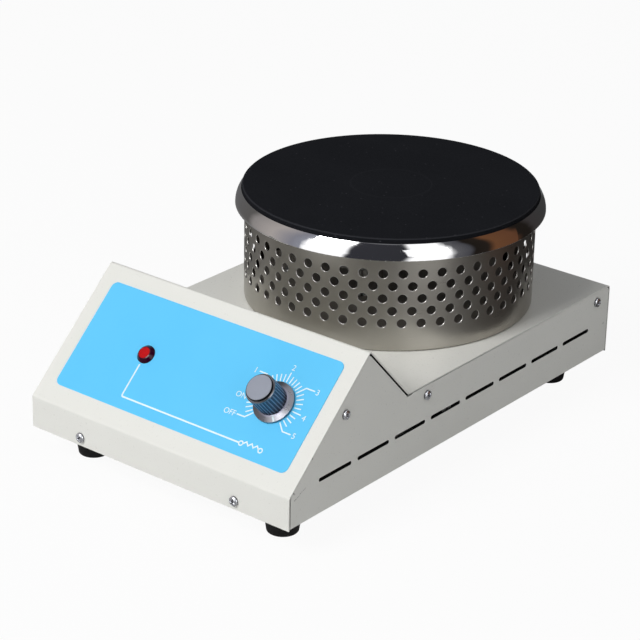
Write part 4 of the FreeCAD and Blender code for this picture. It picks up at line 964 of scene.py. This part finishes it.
@dataclass
class KnobPointer:
    """White pointer line on the knob's skirt, in millimetres from the panel sheet."""

    panel: PanelPlane
    ink: Material
    angle: float = -57.0
    inner_radius: float = 9.15
    outer_radius: float = 12.4
    inner_height: float = 3.44
    outer_height: float = 2.05
    width: float = 1.1
    depth: float = 0.06
    points: int = 6

    def line(self) -> Surface:
        """Strip down the cone: radius and height both run evenly from the grip to the skirt's edge.

        Returns:
            The strip in the part's frame.
        """
        radius = np.linspace(self.inner_radius, self.outer_radius, self.points)
        height = np.linspace(self.inner_height, self.outer_height, self.points)
        turn = math.radians(self.angle)
        local = np.stack([radius * math.cos(turn), radius * math.sin(turn), height], axis=1) * MM
        path = self.panel.place(local)
        run = path[-1] - path[0]
        outward = np.cross(run, np.cross(self.panel.normal, run))
        outward /= np.linalg.norm(outward)
        return carried_strip(path, outward, self.width * MM, self.depth * MM)

    def build(self) -> None:
        """Makes the pointer."""
        add_piece("knob_pointer", self.line(), Body.KNOB, self.ink)


@dataclass
class ScrewHeads:
    """Pan heads with a cross recess that stand for the ten plain screws of the cover, in millimetres.

    Attributes:
        metal: Finish of the screws.
        shade: Painted shade on their steep rims and on the floors of their recesses, as a darker second material.
        rim_share: Share of the head's height that its rim has.
        side_ease: Width over which the sides of the recess go down.
        end_ease: The same for its ends.
        shade_share: Share of the head's radius beyond which a face belongs to the steep rim.
        clear_height: Distance out of the wall beyond which every point belongs to a head.
        least_gap: Gap along the wall by which two heads are told apart.
        first_spin: Turn of the first screw, in degrees.
        spin_step: What each further screw is turned by, in degrees.
    """

    metal: Material
    shade: Material
    head_radius: float = 2.9
    head_height: float = 2.0
    rim_share: float = 0.42
    dome_power: float = 2.4
    shank_radius: float = 1.5
    shank_length: float = 7.0
    recess_half_width: float = 0.42
    recess_reach: float = 1.65
    recess_depth: float = 1.05
    side_ease: float = 0.1
    end_ease: float = 0.15
    radial_steps: int = 20
    turns: int = 64
    shade_share: float = 0.98
    clear_height: float = 1.2
    least_gap: float = 8.0
    first_spin: float = 23.0
    spin_step: float = 47.0

    @staticmethod
    def _from_cross(x: np.ndarray, y: np.ndarray) -> tuple[np.ndarray, np.ndarray]:
        """Distances of points from the nearer of the two axes, and along that axis from the middle."""
        x, y = np.abs(x), np.abs(y)
        return np.minimum(x, y), np.maximum(x, y)

    def head(self) -> Surface:
        """One screw along +Z with its head above zero.

        At its rim the dome has rim_share of the head's height. The rest rises towards the middle as the
        square root of one minus a power of the share of the radius. The recess takes its depth off within
        half a width of one of the two crossing lines, eased over a short distance at its sides and ends.

        Returns:
            The screw, closed at its lower end.
        """
        share = np.linspace(0.0, 1.0, self.radial_steps)[:, None]
        turn = full_turn(self.turns)
        x, y = self.head_radius * share * np.cos(turn), self.head_radius * share * np.sin(turn)
        dome = self.rim_share + (1 - self.rim_share) * np.sqrt(np.clip(1 - share ** self.dome_power, 0, 1))
        across, along = self._from_cross(x, y)
        inside = np.clip((self.recess_half_width - across) / self.side_ease + 0.5, 0, 1)
        inside = inside * np.clip((self.recess_reach - along) / self.end_ease + 0.5, 0, 1)
        top = np.stack([x, y, self.head_height * dome - self.recess_depth * inside], axis=-1)
        lower = ((self.head_radius, 0.0), (self.shank_radius, 0.0), (self.shank_radius, -self.shank_length),
                 (0.0, -self.shank_length))
        rims = [np.stack([r * np.cos(turn), r * np.sin(turn), np.full(self.turns, z)], axis=-1)
                for r, z in lower]
        faces = ring_faces(self.radial_steps + len(lower), self.turns)
        return Surface(np.concatenate([top.reshape(-1, 3)] + rims) * MM, [face[::-1] for face in faces])

    def places(self) -> list[Matrix]:
        """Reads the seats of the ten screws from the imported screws.

        The heads on one wall are told apart by the gaps between them along the wall. Each seat is the
        middle of its head's box, moved onto the wall, and looks out of the wall.

        Returns:
            One matrix for each screw.
        """
        points = read_rows(frame["nodes"]["cover_screws"].data.vertices, "co")
        low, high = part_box("top_cover")
        seats: list[Matrix] = []
        for axis, sign in ((0, 1), (0, -1), (1, 1), (1, -1)):
            wall = high[axis] if sign > 0 else low[axis]
            heads = points[(points[:, axis] - wall) * sign > self.clear_height * MM]
            heads = heads[np.argsort(heads[:, 1 - axis])]
            cuts = np.flatnonzero(np.diff(heads[:, 1 - axis]) > self.least_gap * MM) + 1
            outward = Vector((0.0, 0.0, 0.0))
            outward[axis] = sign
            turn = outward.to_track_quat("Z", "Y").to_matrix().to_4x4()
            for head in np.split(heads, cuts):
                middle = (head.min(axis=0) + head.max(axis=0)) / 2
                middle[axis] = wall
                seats.append(Matrix.Translation(Vector(middle)) @ turn)
        return seats

    def in_shade(self, screw: Surface) -> np.ndarray:
        """Tells which faces of a screw are its steep rim and the floor of its recess.

        Args:
            screw: The screw along +Z.

        Returns:
            One truth value for each face.
        """
        middle = screw.points[np.array(screw.faces)].mean(axis=1) / MM
        across, along = self._from_cross(middle[:, 0], middle[:, 1])
        recess = (across < self.recess_half_width) & (along < self.recess_reach)
        return (np.hypot(across, along) > self.shade_share * self.head_radius) | recess

    def build(self) -> None:
        """Makes the ten screws as one piece in place of the plain ones, each turned by its own angle."""
        screw = self.head()
        parts = []
        for k, seat in enumerate(self.places()):
            spin = Matrix.Rotation(math.radians(self.first_spin + self.spin_step * k), 4, "Z")
            move = np.array(seat @ spin)
            parts.append(Surface(screw.points @ move[:3, :3].T + move[:3, 3], screw.faces))
        piece = add_piece("cover_screw_heads", all_joined(parts), Body.BASE, self.metal,
                          smooth=True)
        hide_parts("cover_screws")
        piece.data.materials.append(self.shade)
        dark = np.tile(self.in_shade(screw), len(parts))
        piece.data.polygons.foreach_set("material_index", dark.astype(np.int32))
        LOG.info("screw seats: %d, dark faces: %d", len(parts), int(dark.sum()))


@dataclass
class HoleLips:
    """Lips of the drum's holes, rolled inwards, in millimetres.

    The drum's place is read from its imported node. Each row's holes are an even division of the circle, and
    every second row is turned by half a step.
    """

    metal: Material
    rows: int = 5
    count: int = 48
    first_row: float = 18.0
    row_pitch: float = 7.73
    phase: float = 5.1
    hole_radius: float = 3.1
    turns: int = 12
    profile: tuple[Pair, ...] = ((0.15, 0.0), (0.02, 0.05), (-0.2, -0.08), (-0.33, -0.45))

    def lip(self, radius: float) -> np.ndarray:
        """One lip, as its profile carried round the hole and bent onto the drum.

        A point at angle a round the hole and distance d from its centre lies d cos a along the drum's
        circumference and d sin a up. Its distance from the drum's axis is the drum's radius plus the
        profile's height.

        Args:
            radius: Outer radius of the drum.

        Returns:
            Points as angle round the drum in radians, distance from its axis and height.
        """
        turn = full_turn(self.turns)
        reach, rise = np.array(self.profile).T[:, :, None]
        reach = reach + self.hole_radius
        along = np.arcsin(reach * np.cos(turn) / radius)
        return np.stack([along, radius + rise + 0 * turn, reach * np.sin(turn)], axis=-1).reshape(-1, 3)

    def build(self) -> None:
        """Makes all lips as one piece."""
        low, high = np.array(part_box("drum_guard")) / MM
        centre, radius = (low + high) / 2, (high[0] - low[0]) / 2
        lip, faces = self.lip(radius), ring_faces(len(self.profile), self.turns)
        parts = []
        for row in range(self.rows):
            height = low[2] + self.first_row + row * self.row_pitch + lip[:, 2]
            for k in range(self.count):
                angle = math.radians(self.phase + (k + 0.5 * (row % 2)) * 360.0 / self.count) + lip[:, 0]
                x, y = centre[0] + lip[:, 1] * np.sin(angle), centre[1] - lip[:, 1] * np.cos(angle)
                parts.append(Surface(np.stack([x, y, height], axis=-1) * MM, faces))
        add_piece("hole_lips", all_joined(parts), Body.BASE, self.metal, smooth=True)


@dataclass(frozen=True)
class PhotoCamera:
    """Camera of the photograph, as its standpoint, its angles and its framing.

    Attributes:
        position: Standpoint, in metres.
        azimuth: Angle of the standpoint round the object from the front, in degrees.
        elevation: Angle above the bench, in degrees.
        roll: Turn about the line of sight, in degrees.
        focal_px: Focal length in pixels of the image.
        principal: Pixel on the line of sight.
        sensor_width: Width of the sensor, in millimetres.
        clip: Nearest and farthest distance seen, in metres.
    """

    position: Triple = (0.806265, -1.018777, 0.637793)
    azimuth: float = 38.372
    elevation: float = 23.637
    roll: float = 1.269
    focal_px: float = 2367.881
    principal: Pair = (331.758, 309.359)
    sensor_width: float = 36.0
    clip: Pair = (0.05, 20.0)

    def build(self) -> Object:
        """Makes the camera and sets it as the scene's.

        Returns:
            The camera object.
        """
        turn, rise, roll = (math.radians(angle) for angle in (self.azimuth, self.elevation, self.roll))
        back = Vector((math.sin(turn) * math.cos(rise), -math.cos(turn) * math.cos(rise), math.sin(rise)))
        right = Vector((math.cos(turn), math.sin(turn), 0.0))
        up = back.cross(right)
        rolled_right = right * math.cos(roll) + up * math.sin(roll)
        rolled_up = up * math.cos(roll) - right * math.sin(roll)
        data = bpy.data.cameras.new("photo_camera")
        data.sensor_width = self.sensor_width
        data.lens = self.focal_px * self.sensor_width / IMAGE_SIDE
        data.shift_x = (IMAGE_SIDE / 2 - self.principal[0]) / IMAGE_SIDE
        data.shift_y = (self.principal[1] - IMAGE_SIDE / 2) / IMAGE_SIDE
        data.clip_start, data.clip_end = self.clip
        camera = put("photo_camera", data)
        facing = Matrix((rolled_right, rolled_up, back)).transposed().to_4x4()
        camera.matrix_world = Matrix.Translation(Vector(self.position)) @ facing
        bpy.context.scene.camera = camera
        LOG.info("camera: %.1f mm", data.lens)
        return camera


@dataclass
class Studio:
    """Pale floor, soft lamps and the surroundings that bright metal shows.

    Attributes:
        floor_radius: Radius of the floor, in metres.
        floor_sides: Number of points of its rim.
        paper: Grey of the floor as the lamps light it.
        paper_glow: Share of plain white in the floor that the camera sees.
        ambient: Even light of the surroundings on matt surfaces.
        lamps: Name, place, side and power of each lamp.
        room: Angle from the front towards +X and colour of what bright metal shows all round.
        table: The same for the near part of the floor.
        table_reach: Distances between which the table gives way to the room.
        wall_top: Heights of a direction between which the room gives way to the ceiling.
        ceiling: Colour that bright metal shows overhead.
    """

    floor_radius: float = 3.0
    floor_sides: int = 96
    paper: float = 0.75
    paper_glow: float = 0.94
    ambient: Triple = (0.25, 0.25, 0.255)
    lamps: tuple[tuple[str, Triple, float, float], ...] = (
        ("key_lamp", (-0.28, -1.61, 1.54), 0.9, 32.0), ("fill_lamp", (1.9, -0.85, 0.8), 1.2, 5.2))
    room: Stops = (
        (-180.0, (0.045, 0.045, 0.045)), (-170.0, (0.05, 0.05, 0.05)), (-162.0, (0.3, 0.32, 0.33)),
        (-130.0, (0.14, 0.14, 0.145)), (-84.0, (0.12, 0.115, 0.11)), (-77.0, (0.3, 0.28, 0.27)),
        (-55.0, (0.45, 0.41, 0.39)), (-36.0, (0.25, 0.25, 0.29)), (-28.0, (0.3, 0.31, 0.36)),
        (-24.5, (1.35, 1.35, 1.35)), (6.0, (1.35, 1.35, 1.35)), (9.0, (0.038, 0.038, 0.046)),
        (50.0, (0.035, 0.036, 0.042)), (55.5, (1.35, 1.35, 1.35)), (80.0, (1.35, 1.35, 1.35)),
        (87.0, (0.12, 0.12, 0.13)), (97.0, (0.07, 0.07, 0.08)), (101.0, (0.015, 0.012, 0.01)),
        (112.0, (0.02, 0.015, 0.012)), (118.0, (0.15, 0.065, 0.03)), (137.0, (0.13, 0.055, 0.028)),
        (144.0, (0.015, 0.012, 0.01)), (153.0, (0.015, 0.012, 0.01)), (160.0, (0.045, 0.04, 0.04)),
        (180.0, (0.045, 0.045, 0.045)))
    table: Stops = (
        (-180.0, (0.06, 0.06, 0.06)), (-112.0, (0.15, 0.15, 0.147)), (-70.0, (0.27, 0.266, 0.264)),
        (-27.0, (0.3, 0.296, 0.294)), (22.0, (0.27, 0.266, 0.264)), (58.0, (0.26, 0.256, 0.254)),
        (70.0, (0.25, 0.247, 0.245)), (90.0, (0.19, 0.187, 0.186)), (108.0, (0.125, 0.123, 0.12)),
        (124.0, (0.075, 0.073, 0.072)), (140.0, (0.04, 0.039, 0.038)), (180.0, (0.04, 0.039, 0.038)))
    table_reach: Pair = (0.4, 0.5)
    wall_top: Pair = (0.8, 0.92)
    ceiling: Triple = (0.95, 0.96, 1.0)

    @staticmethod
    def _by_azimuth(tree: Tree, vector: NodeSocket, stops: Stops) -> NodeSocket:
        """Colour by the angle of a vector round the upright axis, from the front towards +X.

        Args:
            tree: Tree that the nodes go into.
            vector: Direction or place.
            stops: Angle in degrees and colour of each stop.

        Returns:
            The colour socket.
        """
        split = tree.add("ShaderNodeSeparateXYZ", {0: vector})
        angle = tree.math("ARCTAN2", split.outputs[0], tree.math("MULTIPLY", split.outputs[1], -1.0))
        turn = tree.remap(angle, -math.pi, math.pi)
        return tree.ramp(turn, tuple(((degrees + 180.0) / 360.0, colour) for degrees, colour in stops))

    def floor(self) -> None:
        """Round floor whose rim is a circle of points, seen as nearly white but with the object's shadow."""
        turn = full_turn(self.floor_sides)
        rim = np.stack([np.cos(turn), np.sin(turn), 0 * turn], axis=1) * self.floor_radius
        mesh = bpy.data.meshes.new("floor")
        mesh.from_pydata(rim.tolist(), [], [tuple(range(self.floor_sides))])
        floor = put("floor", mesh)
        material = bpy.data.materials.new("floor_paper")
        material.use_nodes = True
        tree = Tree(material.node_tree)
        material.node_tree.nodes.remove(material.node_tree.nodes["Principled BSDF"])
        paper = tree.add("ShaderNodeBsdfDiffuse", {"Color": (self.paper, self.paper, self.paper, 1.0)})
        white = tree.add("ShaderNodeEmission", {"Color": (*WHITE, 1.0), "Strength": 1.0})
        path = tree.add("ShaderNodeLightPath")
        share = tree.math("MULTIPLY", path.outputs["Is Camera Ray"], self.paper_glow)
        mixed = tree.add("ShaderNodeMixShader", {0: share, 1: paper.outputs[0], 2: white.outputs[0]})
        place = tree.place()
        reach = tree.vector("LENGTH", place)
        around = tree.mix(tree.remap(reach, *self.table_reach), self._by_azimuth(tree, place, self.table),
                          self._by_azimuth(tree, place, self.room))
        mirrored = tree.add("ShaderNodeEmission", {"Color": around, "Strength": 1.0})
        seen = tree.add("ShaderNodeMixShader", {0: path.outputs["Is Glossy Ray"], 1: mixed.outputs[0],
                                                2: mirrored.outputs[0]})
        tree.link(seen.outputs[0], material.node_tree.nodes["Material Output"].inputs[0])
        mesh.materials.append(material)

    def world(self) -> None:
        """White to the camera, even grey to matt surfaces and a room with bright windows to glossy ones.

        The room's colours go by the angle of the direction, and give way to the ceiling by its height.
        """
        world = bpy.data.worlds.new("studio")
        bpy.context.scene.world = world
        world.use_nodes = True
        tree = Tree(world.node_tree)
        background = world.node_tree.nodes["Background"]
        path = tree.add("ShaderNodeLightPath")
        place = tree.add("ShaderNodeTexCoord").outputs["Generated"]
        height = tree.add("ShaderNodeSeparateXYZ", {0: place}).outputs[2]
        walls = self._by_azimuth(tree, place, self.room)
        room = tree.mix(tree.remap(height, *self.wall_top), walls, self.ceiling)
        lit = tree.mix(path.outputs["Is Glossy Ray"], self.ambient, room)
        tree.link(tree.mix(path.outputs["Is Camera Ray"], lit, WHITE), background.inputs["Color"])
        background.inputs["Strength"].default_value = 1.0

    def lights(self) -> None:
        """Square soft lamps that look at the middle of the object."""
        aim = (Vector(CAD_BOUNDS[0]) + Vector(CAD_BOUNDS[1])) / 2
        for name, place, side, power in self.lamps:
            data = bpy.data.lights.new(name, "AREA")
            data.shape = "SQUARE"
            data.size = side
            data.energy = power
            lamp = put(name, data)
            look = (Vector(place) - aim).to_track_quat("Z", "Y").to_matrix().to_4x4()
            lamp.matrix_world = Matrix.Translation(Vector(place)) @ look
            LOG.info("lamp %s: %.0f W", name, power)

    def build(self) -> None:
        """Makes floor, surroundings and lamps, and sets the plain view transform."""
        self.floor()
        self.world()
        self.lights()
        bpy.context.scene.view_settings.view_transform = "Standard"


def dress_frame(materials: dict[str, Material]) -> None:
    """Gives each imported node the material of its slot.

    Args:
        materials: Materials by slot.
    """
    for entry in frame["record"]["subparts"]:
        node = frame["nodes"][entry["node"]]
        node.data.materials.clear()
        node.data.materials.append(materials[entry["material_slot"]])
        LOG.info("%s: %s", entry["node"], entry["material_slot"])


@dataclass
class PaintedShadeFaces:
    """Painted shade: a dark second material on the inner faces of the folded sheets and on the walls of the slots,
    in millimetres.

    On the tray a face is outside if it looks outwards at a side wall or down at the floor, or if it is an
    edge of a side wall away from the slots. On the cover a face is inside if it looks down, or looks
    towards the middle from the lip or from the rear wall. The three shares are limits for one part of a
    face's direction.
    """

    material: Material
    wall_depth: float = 1.7
    floor_depth: float = 2.0
    slot_top: float = 32.0
    slot_margin: float = 12.0
    edge_share: float = 0.05
    cover_share: float = 0.1
    facing_share: float = 0.5

    def of_tray(self, centre: np.ndarray, normal: np.ndarray) -> np.ndarray:
        """Tells which faces of the tray are inside.

        Args:
            centre: Middle of each face.
            normal: Direction of each face.

        Returns:
            One truth value for each face.
        """
        low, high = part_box("base_tray")
        beside = np.abs(centre[:, 0]) > high[0] - self.wall_depth * MM
        outwards = normal[:, 0] * np.sign(centre[:, 0])
        under = (centre[:, 2] < low[2] + self.floor_depth * MM) & (normal[:, 2] < -self.edge_share)
        slots = centre[:, 2] < low[2] + self.slot_top * MM
        slots &= np.abs(centre[:, 1]) < high[1] - self.slot_margin * MM
        edge = beside & (np.abs(outwards) <= self.edge_share)
        return ~(beside & (outwards > self.edge_share) | under | edge & ~slots)

    def of_cover(self, centre: np.ndarray, normal: np.ndarray) -> np.ndarray:
        """Tells which faces of the cover are inside.

        Args:
            centre: Middle of each face.
            normal: Direction of each face.

        Returns:
            One truth value for each face.
        """
        upright = (np.abs(normal[:, 2]) <= self.cover_share) & (np.abs(normal[:, 1]) > self.facing_share)
        return (normal[:, 2] < -self.cover_share) | upright & (normal[:, 1] * centre[:, 1] < 0)

    def build(self) -> None:
        """Gives both sheets their second material."""
        for name, test in (("base_tray", self.of_tray), ("top_cover", self.of_cover)):
            mesh = frame["nodes"][name].data
            inside = test(read_rows(mesh.polygons, "center"), read_rows(mesh.polygons, "normal"))
            mesh.materials.append(self.material)
            mesh.polygons.foreach_set("material_index", inside.astype(np.int32))
            mesh.update()
            LOG.info("%s: %d of %d faces are inside", name, int(inside.sum()), len(inside))


def main() -> None:
    """Builds camera, studio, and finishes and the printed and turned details."""
    logging.basicConfig(level=logging.INFO, format="%(name)s %(message)s")
    PhotoCamera().build()
    Studio().build()
    panel = PanelPlane.from_joint(frame["joints"][0])
    shop = FinishShop(panel)
    materials = shop.library([entry["slot"] for entry in frame["record"]["materials"]])
    dress_frame(materials)
    inner, shaded_reflector, ink, shade, lip = (shop.plain(name, FINISHES[name]) for name in EXTRA_FINISHES)
    # The inner faces and the slot walls get near-black paint that stands in for shade
    PaintedShadeFaces(inner).build()
    # The reflector gets a darkened metal as painted shade, seen through the drum's holes
    frame["nodes"]["heat_reflector"].data.materials[0] = shaded_reflector
    PrintedPanel(panel, ink).build()
    KnobPointer(panel, ink).build()
    ScrewHeads(materials["bright_screw"], shade).build()
    HoleLips(lip).build()


if __name__ == "__main__":
    main()
